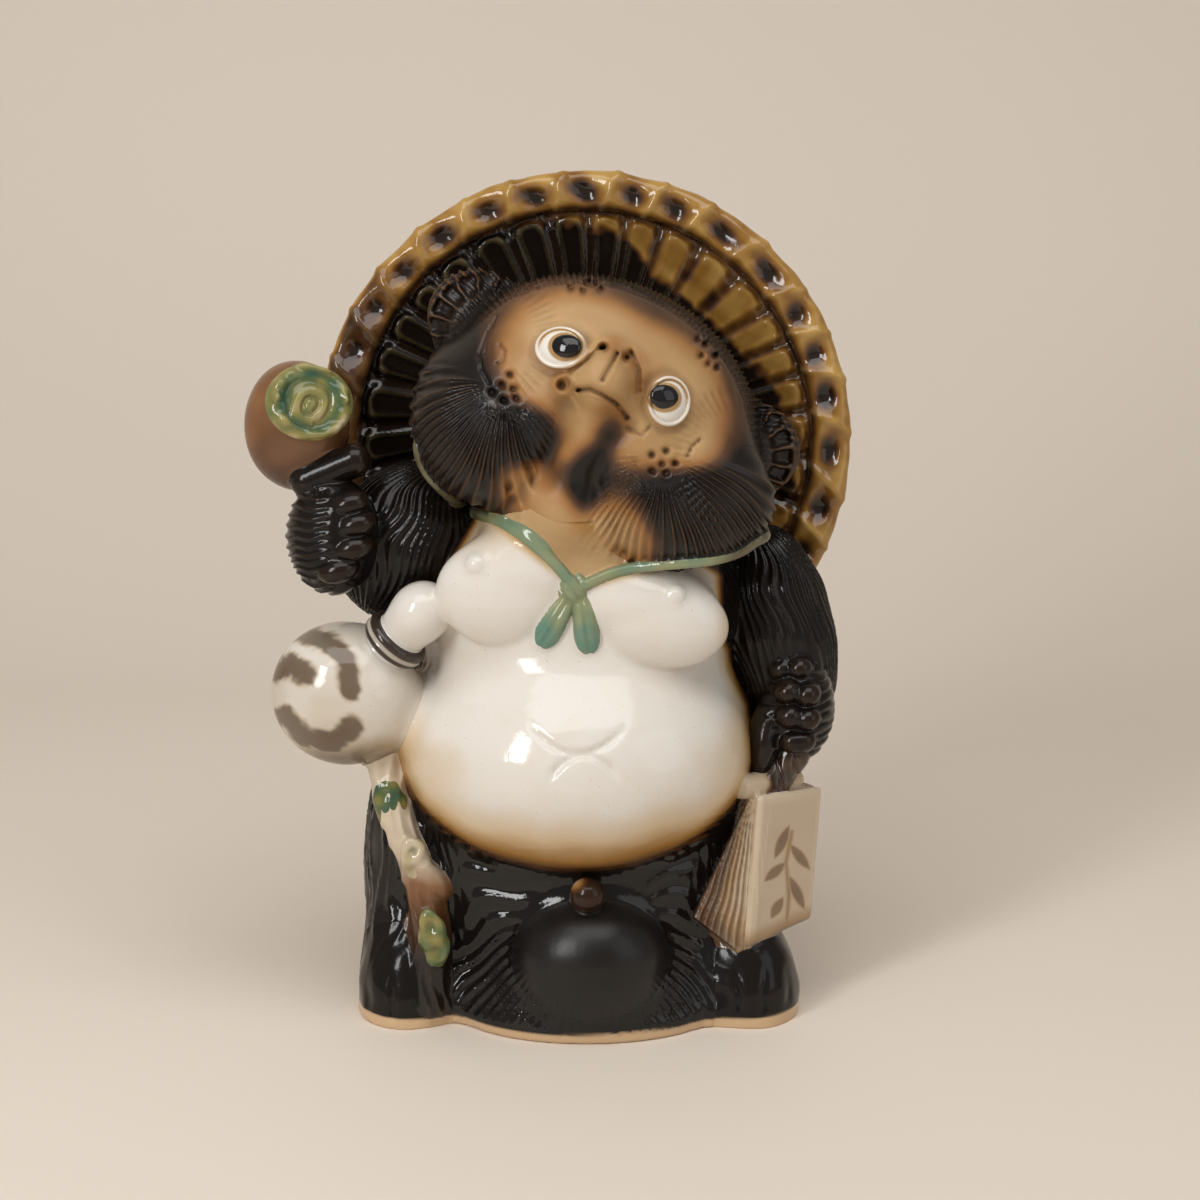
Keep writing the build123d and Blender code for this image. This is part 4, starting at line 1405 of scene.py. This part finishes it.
pieces.update({
    "raised_arm": Piece(raised_arm_gap, raised_arm.box(), 2.0, 0.55, *FUR),
    "raised_paw": Piece(raised_paw_gap, RAISED_PAW_BOX, 1.5, 0.45, *FUR),
    "staff_knob": Piece(staff_knob_gap, staff_knob.box(), 1.5, 0.6, "staff_glaze", staff_knob_tone),
    "staff_cut_end": Piece(staff_end_gap, staff_end.box(), 1.0, 0.4, "knot_glaze", staff_end_tone),
    "flask_body": Piece(flask_gap, flask.box(), 7.0, 0.6, "cream_glaze", flask_tone),
    "flask_neck": Piece(flask_neck_gap, FLASK_NECK_BOX, 2.0, 0.5, "cream_glaze", flask_neck_tone),
    "flask_cord": Piece(flask_cord_gap, FLASK_CORD_BOX, 0.6, 0.4, "flask_cord_glaze", flask_cord_tone),
})
for side, foot in (("right", right_foot), ("left", left_foot)):
    foot_box = line_box(foot_form(foot).box(), FOOT_ROOM)
    pieces[side + "_foot"] = Piece(on(foot_gap, foot), foot_box, 12.0, 0.55, *FUR)
pieces.update({
    "pouch": Piece(pouch_gap, pouch.box(), 8.0, 0.55, *FUR),
    "pouch_knob": Piece(pouch_knob.gap, pouch_knob.box(), 1.2, 0.4, "fur_glaze", knob_tone),
    "tail": Piece(tail_gap, tail.box(), 2.0, 0.6, *FUR),
    "staff_shaft": Piece(staff_gap, line_box(staff_line, room=8.0), 3.0, 0.5, "staff_glaze", staff_tone),
    "lowered_arm": Piece(lowered_arm_gap, lowered_arm.box(), 2.5, 0.55, *FUR),
    "lowered_paw": Piece(lowered_paw_gap, LOWERED_PAW_BOX, 1.2, 0.45, *FUR),
    "book_pages": Piece(pages_gap, BOOK_BOX, 1.6, 0.45, "book_glaze", pages_tone),
    "book_cover": Piece(cover_gap, BOOK_BOX, 2.0, 0.4, "book_glaze", cover_tone),
    "book_hanger": Piece(hanger_gap, HANGER_BOX, 1.0, 0.45, "book_glaze", hanger_tone),
})
for side, breast, seat in (("right", right_breast, (-31, 39)), ("left", left_breast, (14, 47))):
    nipple = ball(breast.at(*seat, NIPPLE_SINK), NIPPLE_RADIUS)
    nipple_box = ball(breast.at(*seat), NIPPLE_ROOM).box()
    pieces[side + "_nipple"] = Piece(nipple.gap, nipple_box, 2.4, 0.35, "cream_glaze", flat_tone(0.0))
pieces["cord_knot"] = Piece(knot_gap, cord_knot.box(), 0.8, 0.35, "cord_glaze", flat_tone(0.25))
for side, line in (("right", right_cord_line), ("left", left_cord_line)):
    pieces["chin_cord_" + side] = Piece(
        rod(line, CORD_RADIUS), line_box(line, room=3.0), 0.9, 0.4, "cord_glaze", cord_tone)
for side, end in (("right", right_cord_tail), ("left", left_cord_tail)):
    pieces["cord_tail_" + side] = Piece(
        on(cord_tail_gap, end), end.box(), 0.8, 0.35, "cord_glaze", on(cord_tail_tone, end))
for place, (spot, (across, rise), tone) in STAFF_KNOTS.items():
    knot = Mass(sight(*spot), (across, KNOT_RISE, rise), KNOT_AXES)
    pieces["staff_knot_" + place] = Piece(
        on(staff_knot_gap, knot), knot.box(), 1.8, 0.4, "knot_glaze", on(staff_knot_tone, tone))

# Meshing: the field is sampled only in the small blocks of a grid that the surface may pass through
BLOCK = 3
BLOCK_HALF_DIAGONAL = 0.87
BLOCK_MARGIN = 1.3
SEAM_LAP = 0.8
SEAM_DIP = 0.6
SEAM_FADE = (0.1, 1.4)
HALVES_OVERLAP = 2.0
MELT_REACH = 10.0
RELIEF_REACH = 8.0
HEAD_FILLET = 1.4
THROAT_FILLET = 22.0
THROAT_MIDDLE = (562, 512)
THROAT_REACH = 46.0
SETTLING_STEP = 0.3
SETTLING_REACH = 0.6
LEAST_STEEPNESS = 0.25
RELIEF_SCALE = 1.4
RELIEF_BIAS = 0.05
BATCH = 60000
CORES = 4


def joined_field(name, side=0.0):
    """The field of one piece, melted to its neighbours and divided from them halfway."""
    own = pieces[name]
    close = {
        other: piece for other, piece in pieces.items()
        if np.all(piece.low - MELT_REACH < own.high) and np.all(own.low - MELT_REACH < piece.high)
    }

    def field(points, edge=False):
        low, high = points.min(0) - MELT_REACH, points.max(0) + MELT_REACH
        nearest = np.full(len(points), FAR, np.float32)
        mine = nearest
        skins = {"body": nearest, "head": nearest}
        for other, piece in close.items():
            if np.any(piece.low > high) or np.any(piece.high < low):
                continue
            gap = piece.gap(points)
            skins[piece.family] = melt(skins[piece.family], gap, piece.fillet)
            if other == name:
                mine = gap
            else:
                nearest = np.minimum(nearest, gap)
        beyond = (mine - nearest) / 2.0
        if edge:
            return beyond
        near = np.abs(skins["head"]) < RELIEF_REACH
        if near.any():
            skins["head"][near] += face_relief(points[near])
        away = ((shown(points) - np.array(THROAT_MIDDLE, np.float32)) ** 2).sum(1)
        throat = np.exp(-away / THROAT_REACH ** 2)
        skin = melt(skins["body"], skins["head"], HEAD_FILLET + THROAT_FILLET * throat)
        if side:
            beyond = np.maximum(beyond, side * points[:, 1])
        shape = np.maximum(skin + SEAM_DIP * np.maximum(beyond, 0.0), beyond - SEAM_LAP)
        shape = np.maximum(shape, -points[:, 2])
        if name == "body":
            shape = np.maximum(shape, -hollow_gap(points))
        return shape

    return field


def sampled(field, points):
    """The field at many points, in batches on all cores."""
    batches = np.array_split(points.astype(np.float32), len(points) // BATCH + 1)
    with ThreadPoolExecutor(CORES) as pool:
        return np.concatenate(list(pool.map(field, batches)))


def grid(counts):
    return np.stack(np.meshgrid(*[np.arange(count) for count in counts], indexing="ij"), -1)


def sampled_grid(field, low, high, voxel):
    """The field on a whole grid: sampled near the surface, and elsewhere only inside or outside."""
    span = BLOCK * voxel
    counts = np.ceil((high - low) / span).astype(int)
    middles = sampled(field, (low + (grid(counts) + 0.5) * span).reshape(-1, 3)).reshape(counts)

    def spread(blocks):
        for axis in range(3):
            blocks = np.repeat(blocks, BLOCK, axis)
        return np.pad(blocks, (0, 1), "edge")

    values = np.where(spread(middles < 0.0), -FAR, FAR).astype(np.float32)
    wanted = spread(np.abs(middles) < span * BLOCK_HALF_DIAGONAL + BLOCK_MARGIN)
    for axis in range(3):
        wanted = wanted | np.roll(wanted, 1, axis)
    values[wanted] = sampled(field, low + np.argwhere(wanted) * voxel)
    return values


def net(values, low, voxel):
    """The surface where a grid's field is zero, as points and four-sided faces."""
    inside = values < 0.0
    corners = [(x, y, z) for x in (0, 1) for y in (0, 1) for z in (0, 1)]
    size = np.array(values.shape) - 1
    steps = np.eye(3, dtype=int)

    def corner(cells, move):
        return tuple((cells + np.array(move)).T)

    def moved(x, y, z):
        return inside[x:size[0] + x, y:size[1] + y, z:size[2] + z]

    filled = np.zeros(size, np.int8)
    for move in corners:
        filled += moved(*move)
    cells = np.argwhere((filled > 0) & (filled < len(corners)))
    total = np.zeros((len(cells), 3))
    crossings = np.zeros(len(cells))
    for start in corners:
        for axis, along in enumerate(steps):
            if start[axis]:
                continue
            one, two = values[corner(cells, start)], values[corner(cells, start + along)]
            cut = (one < 0.0) != (two < 0.0)
            share = np.where(cut, one / np.where(cut, one - two, 1.0), 0.0)
            total += cut[:, None] * (np.array(start) + share[:, None] * along)
            crossings += cut
    points = low + (cells + total / crossings[:, None]) * voxel
    number = np.full(size, -1)
    number[tuple(cells.T)] = np.arange(len(cells))
    faces = []
    near_end = moved(0, 0, 0)
    for axis in range(3):
        along, one, two = np.roll(steps, -axis, axis=0)
        edges = np.argwhere(near_end != moved(*along))
        ring = np.stack([number[corner(edges, -move)] for move in (one + two, two, 0 * one, one)], -1)
        inward = ~near_end[tuple(edges.T)]
        ring[inward] = ring[inward][:, ::-1]
        faces.append(ring[(ring >= 0).all(1)])
    return points, np.concatenate(faces)


def settled(field, points, voxel):
    """Points moved onto the surface along the field's slope, and the slope's direction."""
    step = SETTLING_STEP * voxel
    middle = sampled(field, points)
    slope = np.stack([sampled(field, points + step * axis) - middle for axis in np.eye(3)], -1) / step
    steep = np.maximum((slope ** 2).sum(1), LEAST_STEEPNESS)
    move = np.clip(middle / steep, -SETTLING_REACH * voxel, SETTLING_REACH * voxel)
    return points - slope * move[:, None], slope / np.sqrt(steep)[:, None]


def relief(points, faces, normals, voxel):
    """How far each point stands proud of its neighbours: ridges are positive and grooves negative."""
    starts = faces.ravel()
    ends = np.roll(faces, -1, axis=1).ravel()
    count = np.maximum(np.bincount(starts, minlength=len(points)), 1)

    def around(values):
        return np.bincount(starts, weights=values[ends], minlength=len(points)) / count

    smooth = points
    for _ in range(int(np.ceil((RELIEF_SCALE / voxel) ** 2))):
        smooth = np.stack([around(smooth[:, axis]) for axis in range(3)], -1)
    height = ((points - smooth) * normals).sum(1)
    return around(around(height)) - RELIEF_BIAS


low_corner, high_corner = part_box("body_back_shell")
TO_FRAME = np.array((
    (low_corner[0] + high_corner[0]) / 2 / MILLIMETRE - lower_body.centre[0],
    high_corner[1] / MILLIMETRE - lower_body.centre[1] - lower_body.radii[1],
    0.0,
))


def linked(name, data):
    """A new object in the scene."""
    made = bpy.data.objects.new(name, data)
    bpy.context.scene.collection.objects.link(made)
    return made


def mesh_object(name, points, faces, masks):
    mesh = bpy.data.meshes.new(name)
    mesh.vertices.add(len(points))
    mesh.vertices.foreach_set("co", ((points + TO_FRAME) * MILLIMETRE).astype(np.float32).ravel())
    mesh.loops.add(faces.size)
    mesh.loops.foreach_set("vertex_index", faces.astype(np.int32).ravel())
    mesh.polygons.add(len(faces))
    mesh.polygons.foreach_set("loop_start", np.arange(0, faces.size, 4, dtype=np.int32))
    mesh.update(calc_edges=True)
    mesh.validate()
    mesh.polygons.foreach_set("use_smooth", np.ones(len(mesh.polygons), bool))
    for mask, values in masks.items():
        mesh.attributes.new(mask, "FLOAT", "POINT").data.foreach_set("value", values.astype(np.float32))
    return linked(name, mesh)


# Glazes: colours at tones from 0 to 1, then a colour and a strength for ridges and for sunk lines
CREAM = (0.76, 0.71, 0.64)
BUFF = (0.66, 0.50, 0.31)
AMBER = (0.42, 0.22, 0.06)
BROWN = (0.11, 0.045, 0.016)
BLACK = (0.008, 0.006, 0.005)
RUST = (0.17, 0.06, 0.018)
TAN = (0.49, 0.305, 0.135)
CLAY = (0.62, 0.43, 0.25)
SPECK = (0.16, 0.08, 0.03)
MOTTLE_SCALE = 90.0
RIDGE_SCALE = 300.0
SPECK_SCALE = 1500.0
SPECK_LEVEL = 0.74
SKIN_SCALE = 420.0
SKIN_STRENGTH = 0.12
SKIN_HEIGHT = 0.0006
GLAZES = {
    "body_glaze": dict(
        stops=((0.0, CREAM), (0.25, BUFF), (0.48, AMBER), (0.7, BROWN), (0.9, BLACK)),
        ridge=(RUST, 0.0), sunk=(BLACK, 0.0), roughness=0.10, mottle=0.06, speck=0.5, shine=0.4),
    "fur_glaze": dict(
        stops=((0.0, CREAM), (0.3, AMBER), (0.6, BROWN), (0.85, BLACK)),
        ridge=(RUST, 0.45), sunk=(BLACK, 2.0), roughness=0.16, mottle=0.05, shine=0.28),
    "pouch_satin": dict(
        stops=((0.0, BROWN), (0.85, BLACK)),
        ridge=(RUST, 0.3), sunk=(BLACK, 1.0), roughness=0.36, mottle=0.05, shine=0.4),
    "face_stain": dict(
        stops=((0.0, TAN), (0.35, (0.36, 0.17, 0.055)), (0.65, (0.10, 0.045, 0.02)), (0.95, BLACK)),
        ridge=((0.26, 0.12, 0.04), 1.1), sunk=((0.02, 0.01, 0.006), 1.8),
        roughness=(0.5, 0.3), speck=0.35, shine=0.35),
    "hat_glaze": dict(
        stops=((0.0, (0.46, 0.27, 0.07)), (0.3, (0.27, 0.125, 0.022)), (0.6, BROWN), (0.9, BLACK)),
        ridge=((0.55, 0.36, 0.12), 0.7), sunk=((0.03, 0.012, 0.004), 2.0), roughness=0.12),
    "eye_white": dict(
        stops=((0.0, (0.80, 0.77, 0.70)), (0.5, TAN), (1.0, BROWN)),
        ridge=(CREAM, 0.0), sunk=(BROWN, 0.3), roughness=0.08, mottle=0.02),
    "pupil_black": dict(
        stops=((0.0, BROWN), (1.0, (0.006, 0.006, 0.008))),
        ridge=(BROWN, 0.0), sunk=(BROWN, 0.0), roughness=0.05),
    "cream_glaze": dict(
        stops=(
            (0.0, CREAM), (0.3, (0.52, 0.43, 0.32)), (0.55, (0.18, 0.14, 0.10)),
            (0.8, BROWN), (1.0, BLACK)),
        ridge=(CREAM, 0.0), sunk=(BUFF, 0.4), roughness=0.10, mottle=0.07, speck=0.5),
    "cord_glaze": dict(
        stops=(
            (0.0, (0.11, 0.23, 0.17)), (0.3, (0.27, 0.29, 0.15)), (0.6, (0.13, 0.11, 0.06)),
            (1.0, BLACK)),
        ridge=((0.62, 0.58, 0.40), 0.3), sunk=((0.06, 0.12, 0.09), 1.4), roughness=0.1),
    "flask_cord_glaze": dict(
        stops=((0.2, (0.52, 0.46, 0.38)), (0.7, (0.03, 0.022, 0.018))),
        ridge=(AMBER, 0.2), sunk=(BLACK, 0.6), roughness=0.12),
    "staff_glaze": dict(
        stops=((0.0, (0.66, 0.56, 0.42)), (0.3, (0.24, 0.11, 0.045)), (0.6, BROWN), (1.0, BLACK)),
        ridge=(AMBER, 0.4), sunk=(BROWN, 1.0), roughness=0.25),
    "knot_glaze": dict(
        stops=(
            (0.0, (0.60, 0.50, 0.36)), (0.3, (0.28, 0.23, 0.07)),
            (0.55, (0.12, 0.15, 0.05)), (0.8, (0.04, 0.10, 0.06))),
        ridge=((0.50, 0.42, 0.18), 0.7), sunk=((0.03, 0.05, 0.03), 1.6), roughness=0.08, mottle=0.3),
    "book_glaze": dict(
        stops=(
            (0.0, (0.60, 0.49, 0.35)), (0.35, (0.42, 0.27, 0.14)),
            (0.6, (0.17, 0.12, 0.08)), (0.8, BROWN), (1.0, BLACK)),
        ridge=((0.62, 0.50, 0.36), 0.8), sunk=(BROWN, 2.2), roughness=0.12),
}
OWN_GLAZES = {"pouch": "pouch_satin"}


def node_material(name):
    """A new material and its shader."""
    material = bpy.data.materials.new(name)
    material.use_nodes = True
    return material, material.node_tree.nodes["Principled BSDF"]


class Glaze:
    """A node material whose colours follow the tone and relief written on each piece."""

    def __init__(self, name, stops, ridge, sunk, roughness, mottle=0.12, speck=0.0, shine=0.5):
        self.material, shader = node_material(name)
        self.nodes = self.material.node_tree.nodes
        self.links = self.material.node_tree.links
        shader.inputs["Specular IOR Level"].default_value = shine
        mottling = self.noise(MOTTLE_SCALE, 5.0)
        tone = self.math("MULTIPLY_ADD", mottling, 2.0 * mottle, self.attribute("tone"))
        tone = self.math("SUBTRACT", tone, mottle)
        colour = self.ramp(tone, stops)
        height = self.attribute("relief")
        rough_edge = self.math("MULTIPLY_ADD", self.noise(RIDGE_SCALE, 3.0), 1.2, 0.4)
        raised = self.math("MULTIPLY", height, ridge[1], clamp=True)
        colour = self.mix(self.math("MULTIPLY", raised, rough_edge, clamp=True), colour, ridge[0])
        colour = self.mix(self.math("MULTIPLY", height, -sunk[1], clamp=True), colour, sunk[0])
        if speck:
            spots = self.math("GREATER_THAN", self.noise(SPECK_SCALE, 2.0), SPECK_LEVEL)
            colour = self.mix(self.math("MULTIPLY", spots, speck), colour, SPECK)
        colour = self.mix(self.attribute("bare"), colour, CLAY)
        self.links.new(colour, shader.inputs["Base Color"])
        if isinstance(roughness, tuple):
            spread = self.nodes.new("ShaderNodeMapRange")
            self.links.new(tone, spread.inputs["Value"])
            spread.inputs["To Min"].default_value, spread.inputs["To Max"].default_value = roughness
            self.links.new(spread.outputs["Result"], shader.inputs["Roughness"])
        else:
            shader.inputs["Roughness"].default_value = roughness
        bump = self.nodes.new("ShaderNodeBump")
        bump.inputs["Strength"].default_value = SKIN_STRENGTH
        bump.inputs["Distance"].default_value = SKIN_HEIGHT
        self.links.new(self.noise(SKIN_SCALE, 3.0), bump.inputs["Height"])
        self.links.new(bump.outputs["Normal"], shader.inputs["Normal"])

    def attribute(self, name):
        node = self.nodes.new("ShaderNodeAttribute")
        node.attribute_name = name
        return node.outputs["Fac"]

    def noise(self, scale, detail):
        place = self.nodes.new("ShaderNodeTexCoord")
        node = self.nodes.new("ShaderNodeTexNoise")
        node.inputs["Scale"].default_value = scale
        node.inputs["Detail"].default_value = detail
        self.links.new(place.outputs["Object"], node.inputs["Vector"])
        return node.outputs["Fac"]

    def math(self, operation, *values, clamp=False):
        node = self.nodes.new("ShaderNodeMath")
        node.operation = operation
        node.use_clamp = clamp
        for entry, value in zip(node.inputs, values):
            if isinstance(value, float):
                entry.default_value = value
            else:
                self.links.new(value, entry)
        return node.outputs["Value"]

    def ramp(self, factor, stops):
        node = self.nodes.new("ShaderNodeValToRGB")
        elements = node.color_ramp.elements
        while len(elements) < len(stops):
            elements.new(1.0)
        for element, (position, colour) in zip(elements, stops):
            element.position = position
            element.color = (*colour, 1.0)
        self.links.new(factor, node.inputs["Fac"])
        return node.outputs["Color"]

    def mix(self, factor, colour, other):
        node = self.nodes.new("ShaderNodeMix")
        node.data_type = "RGBA"
        self.links.new(factor, node.inputs["Factor"])
        self.links.new(colour, node.inputs["A"])
        node.inputs["B"].default_value = (*other, 1.0)
        return node.outputs["Result"]


glazes = {name: Glaze(name, **values) for name, values in GLAZES.items()}


def build(name, node, side=0.0):
    """Mesh a piece, or the half of it before or behind Y = 0, in place of a node."""
    piece = pieces[name]
    low, high = piece.low.copy(), piece.high.copy()
    if side > 0:
        high[1] = HALVES_OVERLAP
    if side < 0:
        low[1] = -HALVES_OVERLAP
    field = joined_field(name, side)
    voxel = piece.voxel * 1.0
    points, faces = net(sampled_grid(field, low, high, voxel), low, voxel)
    points, normals = settled(field, points, voxel)
    within = -sampled(on(field, True), points)
    masks = {
        "tone": np.clip(piece.tone(points.astype(np.float32)), 0.0, 1.0),
        "relief": relief(points, faces, normals, voxel) * ease(within, *SEAM_FADE),
        "bare": bare(points.astype(np.float32)),
    }
    built = mesh_object(node + "_clay", points, faces, masks)
    built.data.materials.append(glazes[OWN_GLAZES.get(node, piece.slot)].material)
    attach(built, "root")
    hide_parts(node)


build("body", "body_front_shell", 1.0)
build("body", "body_back_shell", -1.0)
for name in pieces:
    if name != "body":
        build(name, name)

# Floor that curves up into a wall, soft studio light and camera, in metres
FLOOR_SIZE = 6.0
FLOOR_FRONT = -4.0
FLOOR_COLOUR = (0.80, 0.71, 0.61)
FLOOR_ROUGHNESS = 0.6
WALL_FOOT = 0.35
WALL_CURVE = 0.30
WALL_TOP = 4.0
CURVE_STEPS = 24
WORLD_COLOUR = (1.0, 0.98, 0.95)
WORLD_STRENGTH = 0.28
AIM = (0.0, 0.0, 0.12)


def sweep_profile():
    """The side view of the floor and wall, as depth and height."""
    turn = np.linspace(0.0, np.pi / 2, CURVE_STEPS)
    curve = [(WALL_FOOT + WALL_CURVE * np.sin(a), WALL_CURVE * (1.0 - np.cos(a))) for a in turn]
    return [(FLOOR_FRONT, 0.0), *curve, (WALL_FOOT + WALL_CURVE, WALL_TOP)]


profile = sweep_profile()
corners = [
    (side, depth, height) for depth, height in profile for side in (-FLOOR_SIZE / 2, FLOOR_SIZE / 2)
]
strips = [(2 * n, 2 * n + 1, 2 * n + 3, 2 * n + 2) for n in range(len(profile) - 1)]
floor_mesh = bpy.data.meshes.new("floor")
floor_mesh.from_pydata(corners, [], strips)
floor_mesh.polygons.foreach_set("use_smooth", np.ones(len(strips), bool))
floor_pale, floor_shader = node_material("floor_pale")
floor_shader.inputs["Base Color"].default_value = (*FLOOR_COLOUR, 1.0)
floor_shader.inputs["Roughness"].default_value = FLOOR_ROUGHNESS
floor_mesh.materials.append(floor_pale)
floor = linked("floor", floor_mesh)

world = bpy.data.worlds.new("studio")
world.use_nodes = True
background = world.node_tree.nodes["Background"]
background.inputs["Color"].default_value = (*WORLD_COLOUR, 1.0)
background.inputs["Strength"].default_value = WORLD_STRENGTH
bpy.context.scene.world = world


def placed(axes, place):
    """The matrix of a place with the given axes as columns."""
    matrix = Matrix(axes.tolist()).to_4x4()
    matrix.translation = place
    return matrix


def soft_light(name, place, size, power):
    """A rectangular area light that faces the statue."""
    lamp = bpy.data.lights.new(name, "AREA")
    lamp.shape = "RECTANGLE"
    lamp.size, lamp.size_y = size
    lamp.energy = power
    back = unit(np.array(place) - np.array(AIM))
    across = unit(np.cross((0, 0, 1), back))
    linked(name, lamp).matrix_world = placed(np.column_stack((across, np.cross(back, across), back)), place)


soft_light("window", (-0.55, -0.75, 0.62), size=(0.22, 0.55), power=4.8)
soft_light("overhead", (0.05, -0.35, 1.0), size=(0.9, 0.6), power=4.5)
soft_light("fill", (0.9, -0.6, 0.5), size=(0.6, 0.8), power=1.2)

camera = bpy.data.cameras.new("camera")
camera.lens = LENS
camera.sensor_width = SENSOR
viewer = linked("camera", camera)
viewer.matrix_world = placed(CAMERA_AXES, (CAMERA_PLACE + TO_FRAME) * MILLIMETRE)
bpy.context.scene.camera = viewer
bpy.context.scene.view_settings.view_transform = "Standard"
